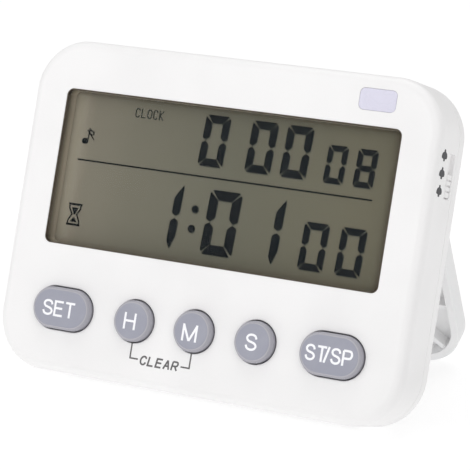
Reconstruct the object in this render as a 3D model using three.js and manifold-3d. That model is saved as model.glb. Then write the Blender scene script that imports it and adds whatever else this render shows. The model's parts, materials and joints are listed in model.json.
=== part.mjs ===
// Bench timer: a rounded white case leaning back on a fold-out stand, with a wide liquid-crystal
// display, five push buttons, an alarm light, a side slide switch and a coin cell behind a round door.
//
// Everything is drawn in the case's own frame, in millimetres: X runs across the front, Y runs from
// the front face (0) to the back, and Z runs up the case from its bottom edge (0). The finished group
// is then leaned back and stood on the table, which is Z = 0 of the exported frame.
import * as THREE from 'three';
import { mergeVertices } from 'three/addons/utils/BufferGeometryUtils.js';
import Module from 'manifold-3d';

const wasm = await Module();
wasm.setup();

// ---------------------------------------------------------------- driving dimensions
const WIDTH = 100;
const HEIGHT = 75.2;
const DEPTH = 16.5;
const CORNER = 12.1;
const FRONT_FILLET = 2.3;
const REAR_FILLET = 2.8;
const WALL = 1.8;
const REAR_WALL = 1.4;
const SEAM = 11.5;
const GAP = 0.3;
const LEAN = THREE.MathUtils.degToRad(20);

const WINDOW = { halfWidth: 41.16, bottom: 28.75, top: 64.0, corner: 1.6 };
const WINDOW_FRONT = 0.2;
const WINDOW_THICKNESS = 1.3;
const BEZEL_LAP = 0.55;
const BEZEL_RIM = 2.2;
const BEZEL_DEPTH = 2.1;
const GLASS_THICKNESS = 1.1;

const BUTTON_ROW = 14.4;
const BUTTON_PITCH = 14.98;
const ROUND_BUTTON = 4.6;
const OVAL_BUTTON = { halfWidth: 7.28, halfHeight: 4.69, offset: 33.27 };
const BUTTON_PROUD = 1.73;
const BUTTON_EDGE = 0.45;
const BUTTON_FLANGE = { rim: 0.85, thickness: 0.8 };
const BUTTON_STEM = { radius: 2.4, length: 1.8 };
const BUTTON_TRAVEL = 1.0;
const BUTTON_GAP = 0.27;

const LENS = { x: 34.46, z: 69.6, halfWidth: 4.12, halfHeight: 2.19, corner: 0.9 };

const BOARD = { front: 8.0, thickness: 1.6, halfWidth: 44.0, bottom: 9.0, top: 72.2, corner: 8.5 };
const BOARD_BACK = BOARD.front + BOARD.thickness;

const SWITCH = { y: 8.7, bottom: 51.0, top: 60.7, width: 3.2, recess: 1.2, slotHalfWidth: 0.9 };
const KNOB = { length: 5.0, leverHalfWidth: 0.6, leverBottom: 0.9, leverTop: 3.5, grooves: [1.3, 2.5, 3.7] };

const CELL = { radius: 10, thickness: 3.2, x: 0, z: 34 };
const CELL_BAY = { outer: 15.3, inner: 14.3 };
const DOOR_RADIUS = 12.2;
const DOOR_LUG_RADIUS = 13.5;
const DOOR_TURN = THREE.MathUtils.degToRad(60);

const STAND_ANGLE = THREE.MathUtils.degToRad(46);
const STAND = {
  halfWidth: 43.5,
  innerHalfWidth: 31,
  thickness: 4.6,
  floor: 1.3,
  rim: 2.0,
  corner: 12,
  innerCorner: 3.2,
  barTop: 43,
  axisToBack: 1.3,
  meetsBackAt: 58.3,
};
const PIN_RADIUS = 1.0;
const PIN_REACH = 3.0;
const RECESS_CLEARANCE = 0.35;
const RECESS_WALL = 1.3;
const RECESS_FLOOR = DEPTH - STAND.thickness - 0.2;

const CASE_SCREWS = [
  { name: 'case_screw_top_left', x: -43.6, z: 68.6, seat: 13.2, bossEnd: 9.4 },
  { name: 'case_screw_top_right', x: 43.6, z: 68.6, seat: 13.2, bossEnd: 9.4 },
  { name: 'case_screw_bottom_left', x: -30, z: 5.2, seat: 9.8, bossEnd: 8.3 },
  { name: 'case_screw_bottom_right', x: 30, z: 5.2, seat: 9.8, bossEnd: 8.3 },
];
const CASE_SCREW = { radius: 1.1, headRadius: 2.1, headHeight: 1.3, tip: 4.2, hole: 1.4, boss: 2.6 };

const BOARD_SCREWS = [
  { name: 'board_screw_top_left', x: -23, z: 70.4 },
  { name: 'board_screw_top_right', x: 18, z: 70.4 },
  { name: 'board_screw_bottom_left', x: -23, z: 22.9 },
  { name: 'board_screw_bottom_right', x: 23, z: 22.9 },
];
const BOARD_SCREW = { radius: 0.85, headRadius: 1.8, headHeight: 1.2, tip: 4.4, hole: 1.15, post: 2.0 };

const MAGNET = { radius: 5, thickness: 3, x: 24, z: 66.6, cupWall: 1.3, cupFront: 11.8 };
const BUZZER = { radius: 6, x: -21.8, z: 44, wall: 0.8, soundHole: 0.7, soundRing: 3 };
const CHIP = { x: 21, z: 41, radius: 4.4, height: 1.6 };
const CRYSTAL = { radius: 1.05, z: 50, from: 18, to: 24 };

// The stand's pivot lies where its back face and the case's back face are equally far from it.
const PIVOT = {
  y: DEPTH - STAND.axisToBack,
  z: STAND.meetsBackAt - STAND.axisToBack * Math.tan(STAND_ANGLE / 2),
};

// ---------------------------------------------------------------- materials
const finish = (color, roughness, metalness = 0) =>
  new THREE.MeshStandardMaterial({ color, roughness, metalness });

const WHITE_PLASTIC = finish(0xf2f3f4, 0.42);
const WHITE_STAND = finish(0xe9ebed, 0.45);
const GREY_BUTTON = finish(0x9ea0ac, 0.5);
const DARK_BEZEL = finish(0x3f3a33, 0.6);
const CLEAR_WINDOW = finish(0xd8dcdc, 0.08);
const LCD_GLASS = finish(0x77736a, 0.25);
const LENS_PLASTIC = finish(0xdedeec, 0.2);
const LED_BODY = finish(0xe04838, 0.2);
const BOARD_GREEN = finish(0x1f6b45, 0.5);
const BLACK_RESIN = finish(0x17181a, 0.5);
const BLACK_RUBBER = finish(0x2c2d30, 0.8);
const GREY_SILICONE = finish(0xb4b6bc, 0.8);
const STEEL = finish(0xb9bbbd, 0.32, 1);
const BRASS = finish(0xc9a55a, 0.35, 1);
const RED_WIRE = finish(0xb3261e, 0.5);
const BLACK_WIRE = finish(0x1b1b1d, 0.5);

// ---------------------------------------------------------------- solids
/** Turns a closed geometry into a solid with merged corners. */
function solid(geometry) {
  geometry.deleteAttribute('normal');
  geometry.deleteAttribute('uv');
  const merged = mergeVertices(geometry, 1e-4);
  return new wasm.Manifold(new wasm.Mesh({
    numProp: 3,
    vertProperties: new Float32Array(merged.attributes.position.array),
    triVerts: new Uint32Array(merged.index.array),
  }));
}

/** Names a solid and gives it a material. */
function piece(name, body, material) {
  const { vertProperties, triVerts } = body.getMesh();
  const geometry = new THREE.BufferGeometry();
  geometry.setAttribute('position', new THREE.BufferAttribute(vertProperties, 3));
  geometry.setIndex(new THREE.BufferAttribute(triVerts, 1));
  geometry.computeVertexNormals();
  const mesh = new THREE.Mesh(geometry, material);
  mesh.name = name;
  return mesh;
}

/** Joins a list of solids. */
const join = (solids) => solids.reduce((whole, next) => whole.add(next));

/** Cuts every solid in a list out of a body. */
const cut = (body, solids) => solids.reduce((rest, next) => rest.subtract(next), body);

/** Upright box between two corners. */
function block(x0, x1, y0, y1, z0, z1) {
  const box = new THREE.BoxGeometry(x1 - x0, y1 - y0, z1 - z0);
  box.translate((x0 + x1) / 2, (y0 + y1) / 2, (z0 + z1) / 2);
  return solid(box);
}

/** Round bar along Y. */
function rod(radius, x, z, y0, y1, sides = 32) {
  const bar = new THREE.CylinderGeometry(radius, radius, y1 - y0, sides);
  bar.translate(x, (y0 + y1) / 2, z);
  return solid(bar);
}

/** Round bar along X. */
function axle(radius, y, z, x0, x1, sides = 24) {
  const bar = new THREE.CylinderGeometry(radius, radius, x1 - x0, sides);
  bar.rotateZ(Math.PI / 2);
  bar.translate((x0 + x1) / 2, y, z);
  return solid(bar);
}

/** Slab between two depths, from an outline drawn in X and Z. */
function slab(outline, y0, y1, curveSegments = 5) {
  const plate = new THREE.ExtrudeGeometry(outline, { depth: y1 - y0, bevelEnabled: false, curveSegments });
  plate.rotateX(Math.PI / 2);
  plate.translate(0, y1, 0);
  return solid(plate);
}

/** Slab whose front and back edges are rounded. */
function softSlab(outline, y0, y1, fillet, curveSegments = 5, bevelSegments = 3) {
  const plate = new THREE.ExtrudeGeometry(outline, {
    depth: y1 - y0 - 2 * fillet,
    bevelSize: fillet,
    bevelThickness: fillet,
    bevelOffset: -fillet,
    bevelSegments,
    curveSegments,
  });
  plate.rotateX(Math.PI / 2);
  plate.translate(0, y1 - fillet, 0);
  return solid(plate);
}

/** Bar between two places along X, from an outline drawn in Y and Z. */
function barAlongX(outline, x0, x1) {
  const bar = new THREE.ExtrudeGeometry(outline, { depth: x1 - x0, bevelEnabled: false, curveSegments: 8 });
  const axes = new THREE.Matrix4().makeBasis(
    new THREE.Vector3(0, 1, 0), new THREE.Vector3(0, 0, 1), new THREE.Vector3(1, 0, 0));
  bar.applyMatrix4(axes);
  bar.translate(x0, 0, 0);
  return solid(bar);
}

// ---------------------------------------------------------------- outlines in X and Z
/** Rectangle with round corners. */
function roundedRectangle(x0, x1, z0, z1, radius) {
  const outline = new THREE.Shape();
  outline.absarc(x1 - radius, z0 + radius, radius, -Math.PI / 2, 0);
  outline.absarc(x1 - radius, z1 - radius, radius, 0, Math.PI / 2);
  outline.absarc(x0 + radius, z1 - radius, radius, Math.PI / 2, Math.PI);
  outline.absarc(x0 + radius, z0 + radius, radius, Math.PI, 1.5 * Math.PI);
  return outline;
}

/** Case outline, drawn in by the inset. */
const caseOutline = (inset = 0) => roundedRectangle(
  -WIDTH / 2 + inset, WIDTH / 2 - inset, inset, HEIGHT - inset, CORNER - inset);

/** Outline of the display's opening, drawn in by the inset. */
const windowOutline = (inset = 0) => roundedRectangle(
  -WINDOW.halfWidth + inset, WINDOW.halfWidth - inset,
  WINDOW.bottom + inset, WINDOW.top - inset, WINDOW.corner - inset);

/** Outline of the alarm light's face, drawn out by the growth. */
const lensOutline = (grow = 0) => roundedRectangle(
  LENS.x - LENS.halfWidth - grow, LENS.x + LENS.halfWidth + grow,
  LENS.z - LENS.halfHeight - grow, LENS.z + LENS.halfHeight + grow, LENS.corner + grow);

/** Outline of a rectangle about a centre, with its corners rounded. */
const centredOutline = (x, z, halfWidth, halfHeight, radius) =>
  roundedRectangle(x - halfWidth, x + halfWidth, z - halfHeight, z + halfHeight, radius);

/** Outline of a key: a circle, or an oval with half-round ends. */
function buttonOutline(key, grow = 0) {
  const radius = key.halfHeight + grow;
  const reach = key.halfWidth - key.halfHeight;
  const outline = new THREE.Shape();
  outline.absarc(key.x + reach, BUTTON_ROW, radius, -Math.PI / 2, Math.PI / 2);
  outline.absarc(key.x - reach, BUTTON_ROW, radius, Math.PI / 2, 1.5 * Math.PI);
  return outline;
}

/** U-shaped outline of the folded stand about its pivot, drawn out by the growth. */
function standOutline(grow = 0) {
  const outer = STAND.halfWidth + grow;
  const inner = STAND.innerHalfWidth - grow;
  const corner = STAND.corner + grow;
  const innerCorner = STAND.innerCorner - grow;
  const top = STAND.axisToBack + grow;
  const bottom = -STAND_LENGTH - grow;
  const barTop = -STAND.barTop + grow;
  const outline = new THREE.Shape();
  outline.moveTo(-outer, top);
  outline.lineTo(-outer, bottom + corner);
  outline.absarc(-outer + corner, bottom + corner, corner, Math.PI, 1.5 * Math.PI);
  outline.absarc(outer - corner, bottom + corner, corner, 1.5 * Math.PI, 2 * Math.PI);
  outline.lineTo(outer, top);
  outline.lineTo(inner, top);
  outline.absarc(inner - innerCorner, barTop + innerCorner, innerCorner, 0, -Math.PI / 2, true);
  outline.absarc(-inner + innerCorner, barTop + innerCorner, innerCorner, -Math.PI / 2, -Math.PI, true);
  outline.lineTo(-inner, top);
  outline.closePath();
  return outline;
}

/** Distance from the pivot to the foot that lets the foot's front edge and the case's back edge both
 *  touch the table. */
function standLength() {
  const height = (y, z) => z * Math.cos(LEAN) - y * Math.sin(LEAN);
  const table = height(DEPTH - REAR_FILLET, REAR_FILLET) - REAR_FILLET;
  const slope = STAND_ANGLE - LEAN;
  const front = STAND.thickness - STAND.axisToBack;
  return (height(PIVOT.y, PIVOT.z) - front * Math.sin(slope) - table) / Math.cos(slope);
}
const STAND_LENGTH = standLength();

// ---------------------------------------------------------------- keys
const ROUND = { halfWidth: ROUND_BUTTON, halfHeight: ROUND_BUTTON };
const OVAL = { halfWidth: OVAL_BUTTON.halfWidth, halfHeight: OVAL_BUTTON.halfHeight };
const KEYS = [
  { name: 'button_set', x: -OVAL_BUTTON.offset, ...OVAL },
  { name: 'button_hour', x: -BUTTON_PITCH, ...ROUND },
  { name: 'button_minute', x: 0, ...ROUND },
  { name: 'button_second', x: BUTTON_PITCH, ...ROUND },
  { name: 'button_start_stop', x: OVAL_BUTTON.offset, ...OVAL },
];

// ---------------------------------------------------------------- case
/** Front half of the case: a deep tray with openings, screw bosses and board posts. */
function frontShell() {
  const outside = softSlab(caseOutline(), 0, 2 * DEPTH, FRONT_FILLET)
    .intersect(block(-WIDTH, WIDTH, -1, SEAM - GAP / 2, -1, HEIGHT + 1));
  const inside = slab(caseOutline(WALL), WALL, SEAM + 1);
  const hollow = outside.subtract(inside);

  const bosses = CASE_SCREWS.map(({ x, z, bossEnd }) => rod(CASE_SCREW.boss, x, z, WALL - 0.2, bossEnd, 24));
  const posts = BOARD_SCREWS.map(({ x, z }) =>
    rod(BOARD_SCREW.post, x, z, WALL - 0.2, BOARD.front - GAP, 20));
  const body = join([hollow, ...bosses, ...posts]);

  const windowHole = slab(windowOutline(), -1, WALL + 1, 3);
  const lensHole = slab(lensOutline(GAP), -1, WALL + 1, 2);
  const keyHoles = KEYS.map((key) => slab(buttonOutline(key, BUTTON_GAP), -1, WALL + 1, 9));
  const bossHoles = CASE_SCREWS.map(({ x, z, bossEnd }) =>
    rod(CASE_SCREW.hole, x, z, CASE_SCREW.tip - 0.4, bossEnd + 1, 16));
  const postHoles = BOARD_SCREWS.map(({ x, z }) =>
    rod(BOARD_SCREW.hole, x, z, BOARD_SCREW.tip - 0.4, BOARD.front, 16));
  const cuts = [windowHole, lensHole, ...keyHoles, ...bossHoles, ...postHoles, ...switchOpening()];
  return piece('front_shell', cut(body, cuts), WHITE_PLASTIC);
}

/** Finger recess in the right-hand wall, with the slot that the knob's lever runs in. */
function switchOpening() {
  const { y, bottom, top, width, recess, slotHalfWidth: slot } = SWITCH;
  const outerFace = WIDTH / 2;
  return [
    block(outerFace - recess, outerFace + 1, y - width / 2, y + width / 2, bottom, top),
    block(outerFace - WALL - 1, outerFace, y - slot, y + slot, bottom + slot, top - slot),
  ];
}

/** Back half of the case: a shallow tray sunk in a U for the folded stand. */
function rearShell() {
  const outside = softSlab(caseOutline(), -DEPTH, DEPTH, REAR_FILLET)
    .intersect(block(-WIDTH, WIDTH, SEAM + GAP / 2, DEPTH + 1, -1, HEIGHT + 1));
  const inside = slab(caseOutline(WALL), SEAM - 1, DEPTH - REAR_WALL);
  const lining = slab(standOutline(RECESS_CLEARANCE + RECESS_WALL), RECESS_FLOOR - RECESS_WALL, DEPTH - 1)
    .translate(0, 0, PIVOT.z);
  const room = join([
    slab(caseOutline(WALL + GAP), 0, SEAM + GAP),
    slab(caseOutline(WALL / 2), SEAM + GAP / 2, DEPTH - 1),
  ]);
  const rearBosses = CASE_SCREWS.map(({ x, z, seat, bossEnd }) =>
    rod(CASE_SCREW.boss + 0.8, x, z, bossEnd + GAP, Math.max(seat + 1, RECESS_FLOOR - 0.5), 24));
  const sunk = join([lining, ...rearBosses]).intersect(room);
  const bayWall = rod(CELL_BAY.outer, CELL.x, CELL.z, BOARD_BACK + GAP, DEPTH - 1, 40)
    .subtract(rod(CELL_BAY.inner, CELL.x, CELL.z, 0, DEPTH, 40));
  const buzzerRoom = BUZZER.radius + 0.4;
  const buzzerWall = rod(buzzerRoom + BUZZER.wall, BUZZER.x, BUZZER.z, 12.4, DEPTH - 1, 24)
    .subtract(rod(buzzerRoom, BUZZER.x, BUZZER.z, 0, DEPTH, 24));
  const magnetCups = [-1, 1].map((side) =>
    rod(MAGNET.radius + MAGNET.cupWall, side * MAGNET.x, MAGNET.z, MAGNET.cupFront, DEPTH - 1, 28));
  const hingeBlocks = [-1, 1].map((side) => {
    const [near, far] = [STAND.halfWidth, WIDTH / 2 - WALL + 0.2].map((x) => side * x);
    return block(Math.min(near, far), Math.max(near, far), 12.2, DEPTH - 1, PIVOT.z - 3.2, PIVOT.z + 3.2);
  });
  const body = join([outside.subtract(inside), sunk, bayWall, buzzerWall, ...magnetCups, ...hingeBlocks]);
  return piece('rear_shell', cut(body, rearOpenings()), WHITE_PLASTIC);
}

/** Everything cut out of the back half of the case. */
function rearOpenings() {
  const folded = (y0) => slab(standOutline(RECESS_CLEARANCE), y0, DEPTH + 5).translate(0, 0, PIVOT.z);
  const belowFloor = block(-WIDTH, WIDTH, 0, DEPTH + 6, -2, WALL + 0.2);
  const headHoles = CASE_SCREWS.map(({ x, z, seat }) =>
    rod(CASE_SCREW.headRadius + GAP, x, z, seat, DEPTH + 1, 24));
  const shaftHoles = CASE_SCREWS.map(({ x, z }) => rod(CASE_SCREW.hole, x, z, 0, DEPTH, 16));
  const magnetHoles = [-1, 1].map((side) =>
    rod(MAGNET.radius + GAP, side * MAGNET.x, MAGNET.z, DEPTH - MAGNET.thickness - 0.5, DEPTH + 1, 28));
  const pinSockets = [-1, 1].flatMap((side) => {
    const ends = [STAND.halfWidth, STAND.halfWidth + PIN_REACH + GAP].map((x) => side * x);
    const [low, high] = [Math.min(...ends), Math.max(...ends)];
    const mouth = PIN_RADIUS - 0.2;
    return [
      axle(PIN_RADIUS + GAP, PIVOT.y, PIVOT.z, low, high),
      block(low, high, PIVOT.y, DEPTH + 1, PIVOT.z - mouth, PIVOT.z + mouth),
    ];
  });
  const { soundHole, soundRing } = BUZZER;
  const soundPlaces = turns(6).map((angle) => [soundRing * Math.cos(angle), soundRing * Math.sin(angle)]);
  const soundHoles = [[0, 0], ...soundPlaces].map(([dx, dz]) =>
    rod(soundHole, BUZZER.x + dx, BUZZER.z + dz, DEPTH - 2, DEPTH + 1, 10));
  return [
    folded(RECESS_FLOOR),
    folded(SEAM - 1).intersect(belowFloor),
    rod(DOOR_RADIUS + GAP, CELL.x, CELL.z, DEPTH - 2, DEPTH + 1, 48),
    ...doorLugs(DOOR_LUG_RADIUS + 0.4, 0.28, DEPTH - 2, DEPTH + 1, DOOR_TURN),
    ...headHoles, ...shaftHoles, ...magnetHoles, ...pinSockets, ...soundHoles,
  ];
}

/** Equal steps round a full turn. */
const turns = (count) => Array.from({ length: count }, (_, step) => (2 * Math.PI * step) / count);

/** Three wedge lugs about the door's axis, turned on by an angle. */
function doorLugs(radius, halfAngle, y0, y1, turned = 0) {
  return turns(3).map((angle) => {
    const middle = angle + Math.PI / 2 + turned;
    const wedge = new THREE.Shape();
    wedge.absarc(0, 0, radius, middle - halfAngle, middle + halfAngle);
    wedge.absarc(0, 0, DOOR_RADIUS - 1, middle + halfAngle, middle - halfAngle, true);
    wedge.closePath();
    return slab(wedge, y0, y1, 3).translate(CELL.x, 0, CELL.z);
  });
}

// ---------------------------------------------------------------- display
/** Clear plate that fills the front opening. */
function displayWindow() {
  const plate = slab(windowOutline(GAP), WINDOW_FRONT, WINDOW_FRONT + WINDOW_THICKNESS, 3);
  return piece('display_window', plate, CLEAR_WINDOW);
}

/** Dark frame between the window and the display glass. */
function lcdBezel() {
  const { halfWidth, bottom, top, corner } = WINDOW;
  const front = WALL + GAP;
  const grow = BEZEL_RIM;
  const outer = roundedRectangle(-halfWidth - grow, halfWidth + grow, bottom - grow, top + grow, 3);
  const inner = roundedRectangle(
    -halfWidth + BEZEL_LAP, halfWidth - BEZEL_LAP, bottom + BEZEL_LAP, top - BEZEL_LAP, corner);
  const frame = slab(outer, front, front + BEZEL_DEPTH, 2).subtract(slab(inner, 0, DEPTH, 3));
  return piece('lcd_bezel', frame, DARK_BEZEL);
}

/** Two bonded glass plates; the front one overhangs below to carry the contacts. */
function lcdPanel() {
  const front = WALL + BEZEL_DEPTH + 2 * GAP;
  const half = WINDOW.halfWidth + 1.4;
  const [bottom, top] = [WINDOW.bottom - 1.5, WINDOW.top + 1.4];
  const glass = join([
    block(-half, half, front, front + GLASS_THICKNESS, bottom, top),
    block(-half, half, front + GLASS_THICKNESS, front + 2 * GLASS_THICKNESS, bottom + 2.7, top),
  ]);
  return piece('lcd_panel', glass, LCD_GLASS);
}

/** Soft strip that carries the signals from the board to the overhanging glass. */
function zebraStrip() {
  const front = WALL + BEZEL_DEPTH + GLASS_THICKNESS + 3 * GAP;
  const bottom = WINDOW.bottom - 1.2;
  return piece('zebra_strip', block(-38, 38, front, BOARD.front - GAP, bottom, bottom + 1.9), BLACK_RUBBER);
}

// ---------------------------------------------------------------- buttons and light
/** Push button: rounded cap, retaining flange behind the wall and a stem. */
function pushButton(key) {
  const flangeFront = WALL + GAP;
  const { rim, thickness } = BUTTON_FLANGE;
  const { radius, length } = BUTTON_STEM;
  const cap = softSlab(buttonOutline(key), -BUTTON_PROUD, flangeFront + 1.2, BUTTON_EDGE, 9, 2);
  const flange = slab(buttonOutline(key, rim), flangeFront, flangeFront + thickness, 9);
  const stem = rod(radius, key.x, BUTTON_ROW, flangeFront, flangeFront + length, 20);
  return piece(key.name, join([cap, flange, stem]), GREY_BUTTON);
}

/** Silicone sheet with a raised pad behind each button, clear of the pressed stems. */
function keypadMat() {
  const back = BOARD.front - GAP;
  const front = back - 1.0;
  const padFront = WALL + GAP + BUTTON_STEM.length + BUTTON_TRAVEL + GAP;
  const sheet = slab(roundedRectangle(-42.5, 42.5, 9.2, 20.4, 2), front, back, 2);
  const pads = KEYS.map(({ x }) => rod(3.2, x, BUTTON_ROW, padFront, front + 0.1, 20));
  return piece('keypad_mat', join([sheet, ...pads]), GREY_SILICONE);
}

/** Frosted lens of the alarm light, with a flange behind the wall. */
function lightLens() {
  const flangeFront = WALL + GAP;
  const { x, z, halfWidth, halfHeight } = LENS;
  const face = slab(lensOutline(), 0, flangeFront + 0.5, 3);
  const flange = slab(centredOutline(x, z, halfWidth + 0.9, halfHeight + 0.35, 0.6),
    flangeFront, flangeFront + 0.8, 2);
  return piece('light_lens', face.add(flange), LENS_PLASTIC);
}

/** Light-emitting diode behind the lens: domed body on a collar. */
function alarmLed() {
  const collarFront = BOARD.front - GAP - 1.0;
  const profile = [[0, 3.3], [0.75, 3.5], [1.3, 4.0], [1.5, 4.8], [1.5, collarFront],
    [1.9, collarFront], [1.9, collarFront + 1.0], [0, collarFront + 1.0]];
  const body = new THREE.LatheGeometry(profile.map(([r, y]) => new THREE.Vector2(r, y)), 20);
  body.translate(LENS.x, 0, LENS.z);
  return piece('alarm_led', solid(body), LED_BODY);
}

// ---------------------------------------------------------------- side switch
/** Body of the slide switch, with a groove for the knob's lever. */
function switchBody() {
  const { y, bottom, top } = SWITCH;
  const outer = WIDTH / 2 - WALL - GAP;
  const housing = block(outer - 3.2, outer, y - 2.0, y + 1.6, bottom - 1.6, top + 1.6);
  const groove = block(outer - 1.2, outer + 1, y - 0.9, y + 0.9, bottom + 0.4, top - 0.4);
  return piece('switch_body', housing.subtract(groove), BLACK_RESIN);
}

/** Sliding knob: a ribbed pad in the recess and a lever that reaches into the switch. */
function switchKnob() {
  const { y, bottom, width, recess } = SWITCH;
  const { length, leverHalfWidth: half, leverBottom, leverTop } = KNOB;
  const face = WIDTH / 2;
  const start = bottom + GAP;
  const back = face - recess + GAP;
  const reach = width / 2 - GAP;
  const pad = block(back, face - 0.1, y - reach, y + reach, start, start + length);
  const grooves = KNOB.grooves.map((step) =>
    block(face - 0.4, face + 1, y - width, y + width, start + step - 0.2, start + step + 0.2));
  const lever = block(
    face - WALL - 1.1, back + 0.1, y - half, y + half, start + leverBottom, start + leverTop);
  return piece('switch_knob', cut(pad, grooves).add(lever), WHITE_PLASTIC);
}

// ---------------------------------------------------------------- electronics
/** Circuit board, notched round the upper case screws and drilled for its own. */
function mainBoard() {
  const { front, halfWidth, bottom, top, corner } = BOARD;
  const plate = slab(roundedRectangle(-halfWidth, halfWidth, bottom, top, corner), front, BOARD_BACK);
  const notches = CASE_SCREWS.map(({ x, z }) => rod(CASE_SCREW.boss + 1.1, x, z, 0, DEPTH, 24));
  const holes = BOARD_SCREWS.map(({ x, z }) => rod(BOARD_SCREW.hole, x, z, 0, DEPTH, 16));
  return piece('main_board', cut(plate, [...notches, ...holes]), BOARD_GREEN);
}

/** Resin drop over the controller chip. */
function controllerChip() {
  const base = BOARD_BACK + GAP;
  const { x, z, radius, height } = CHIP;
  const profile = [[0, 0], [1, 0], [0.95, 0.38], [0.73, 0.75], [0.36, 0.94], [0, 1]]
    .map(([across, up]) => new THREE.Vector2(across * radius, base + up * height));
  const drop = new THREE.LatheGeometry(profile, 24);
  drop.translate(x, 0, z);
  return piece('controller_chip', solid(drop), BLACK_RESIN);
}

/** Small can that holds the clock crystal, lying on the board. */
function clockCrystal() {
  const { radius, z, from, to } = CRYSTAL;
  return piece('clock_crystal', axle(radius, BOARD_BACK + GAP + radius, z, from, to, 16), STEEL);
}

/** Ring on the board that centres the coin cell, open where the side contact stands. */
function batteryHolder() {
  const { x, z, radius } = CELL;
  const base = BOARD_BACK + GAP;
  const ring = rod(radius + 2, x, z, base, base + 3.2, 40).subtract(rod(radius + 0.4, x, z, 0, DEPTH, 40));
  const opening = block(x + radius - 1, x + radius + 4, 0, DEPTH, z - 2.1, z + 2.1);
  return piece('battery_holder', ring.subtract(opening), BLACK_RESIN);
}

/** Coin cell. Its lower can is a little narrower than its rim. */
function coinCell() {
  const { x, z, radius, thickness } = CELL;
  const front = BOARD_BACK + 3 * GAP;
  const rim = rod(radius, x, z, front + 0.7, front + thickness, 40);
  const can = rod(radius - 1.1, x, z, front, front + 0.8, 40);
  return piece('coin_cell', rim.add(can), STEEL);
}

/** Flat contact under the cell. */
function negativeContact() {
  const base = BOARD_BACK + GAP;
  return piece('battery_contact_negative', block(-8, 8, base, base + GAP, CELL.z - 2.5, CELL.z + 2.5), STEEL);
}

/** Upright leaf against the cell's rim, with a foot on the board. */
function positiveContact() {
  const base = BOARD_BACK + GAP;
  const rim = CELL.radius + GAP;
  const leaf = block(rim, rim + 0.4, base, base + 3.1, CELL.z - 1.6, CELL.z + 1.6);
  const foot = block(rim, rim + 3.2, base, base + 0.4, CELL.z - 1.6, CELL.z + 1.6);
  return piece('battery_contact_positive', leaf.add(foot), STEEL);
}

/** Round battery door with three lugs behind the wall and a coin slot. */
function batteryDoor() {
  const inner = DEPTH - REAR_WALL - 1.1;
  const disc = rod(DOOR_RADIUS, CELL.x, CELL.z, inner, DEPTH, 48);
  const hollow = rod(DOOR_RADIUS - 1.6, CELL.x, CELL.z, inner - 1, DEPTH - REAR_WALL, 40);
  const slot = slab(centredOutline(CELL.x, CELL.z, 8.5, 1.1, 1.0), DEPTH - 0.8, DEPTH + 1, 3);
  const lugs = doorLugs(DOOR_LUG_RADIUS, 0.2, inner, inner + 0.8);
  return piece('battery_door', join([cut(disc, [hollow, slot]), ...lugs]), WHITE_PLASTIC);
}

/** Thin sounder disc inside its wall, behind the sound holes. */
function buzzerDisc() {
  const { radius, x, z } = BUZZER;
  const front = DEPTH - REAR_WALL - 1.0;
  const plate = rod(radius, x, z, front + 0.3, front + 0.6, 32);
  const ceramic = rod(radius - 1.6, x, z, front, front + 0.4, 32);
  return piece('buzzer_disc', plate.add(ceramic), BRASS);
}

/** Insulated lead from the board to the sounder disc. */
function buzzerWire(name, material, shift) {
  const route = new THREE.CatmullRomCurve3([
    new THREE.Vector3(-14 + shift, BOARD_BACK + 0.8, 56),
    new THREE.Vector3(-15 + shift, 11.3, 53),
    new THREE.Vector3(-19.5 + shift, 11.5, 48),
    new THREE.Vector3(-21 + shift, 12.4, 45),
    new THREE.Vector3(-21.4 + shift, 13.6, 43.8),
  ]);
  const section = new THREE.Shape();
  section.absarc(0, 0, 0.5, 0, 2 * Math.PI);
  const tube = new THREE.ExtrudeGeometry(section, { steps: 14, curveSegments: 4, extrudePath: route });
  return piece(name, solid(tube), material);
}

// ---------------------------------------------------------------- stand, magnets and screws
/** Fold-out stand about its pivot, drawn as it lies folded: a U-shaped tray with stiffening ribs. */
function stand() {
  const back = STAND.axisToBack;
  const front = back - STAND.thickness;
  const plate = slab(standOutline(), front, back).intersect(barAlongX(standSide(), -WIDTH, WIDTH));
  const pocket = slab(standOutline(-STAND.rim), front - 1, back - STAND.floor).subtract(join(standRibs()));
  const pins = [-1, 1].map((side) => {
    const [near, far] = [STAND.halfWidth - 1, STAND.halfWidth + PIN_REACH].map((x) => side * x);
    return axle(PIN_RADIUS, 0, 0, Math.min(near, far), Math.max(near, far));
  });
  const mesh = piece('stand', join([plate.subtract(pocket), ...pins]), WHITE_STAND);
  mesh.position.set(0, PIVOT.y, PIVOT.z);
  mesh.rotation.x = STAND_ANGLE;
  return mesh;
}

/** Side view of the stand: square at the foot, rounded about the pivot at the top. */
function standSide() {
  const back = STAND.axisToBack;
  const front = back - STAND.thickness;
  const side = new THREE.Shape();
  side.moveTo(front, -STAND_LENGTH - 1);
  side.lineTo(back, -STAND_LENGTH - 1);
  side.absarc(0, 0, back, 0, Math.PI / 2);
  side.lineTo(-1.5, back);
  side.lineTo(front, -0.4);
  side.closePath();
  return side;
}

/** Ribs across the arms, along the foot bar and over its corners. */
function standRibs() {
  const ribFront = STAND.axisToBack - STAND.thickness + 0.6;
  const half = 0.6;
  const across = [20, 40].map((reach) => block(-WIDTH, WIDTH, ribFront, 2, -reach - half, -reach + half));
  const upright = [-24, -8, 8, 24].map((x) =>
    block(x - half, x + half, ribFront, 2, -STAND_LENGTH, -STAND.barTop));
  const corners = [-1, 1].map((side) => {
    const rib = new THREE.BoxGeometry(2 * half, 2 - ribFront, 16);
    rib.rotateY(side * -Math.PI / 4);
    rib.translate(side * 36.9, (2 + ribFront) / 2, -51.4);
    return solid(rib);
  });
  return [...across, ...upright, ...corners];
}

/** Disc magnet pressed into the back. */
function magnet(name, side) {
  const back = DEPTH - 0.2;
  return piece(name, rod(MAGNET.radius, side * MAGNET.x, MAGNET.z, back - MAGNET.thickness, back, 28), STEEL);
}

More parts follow.
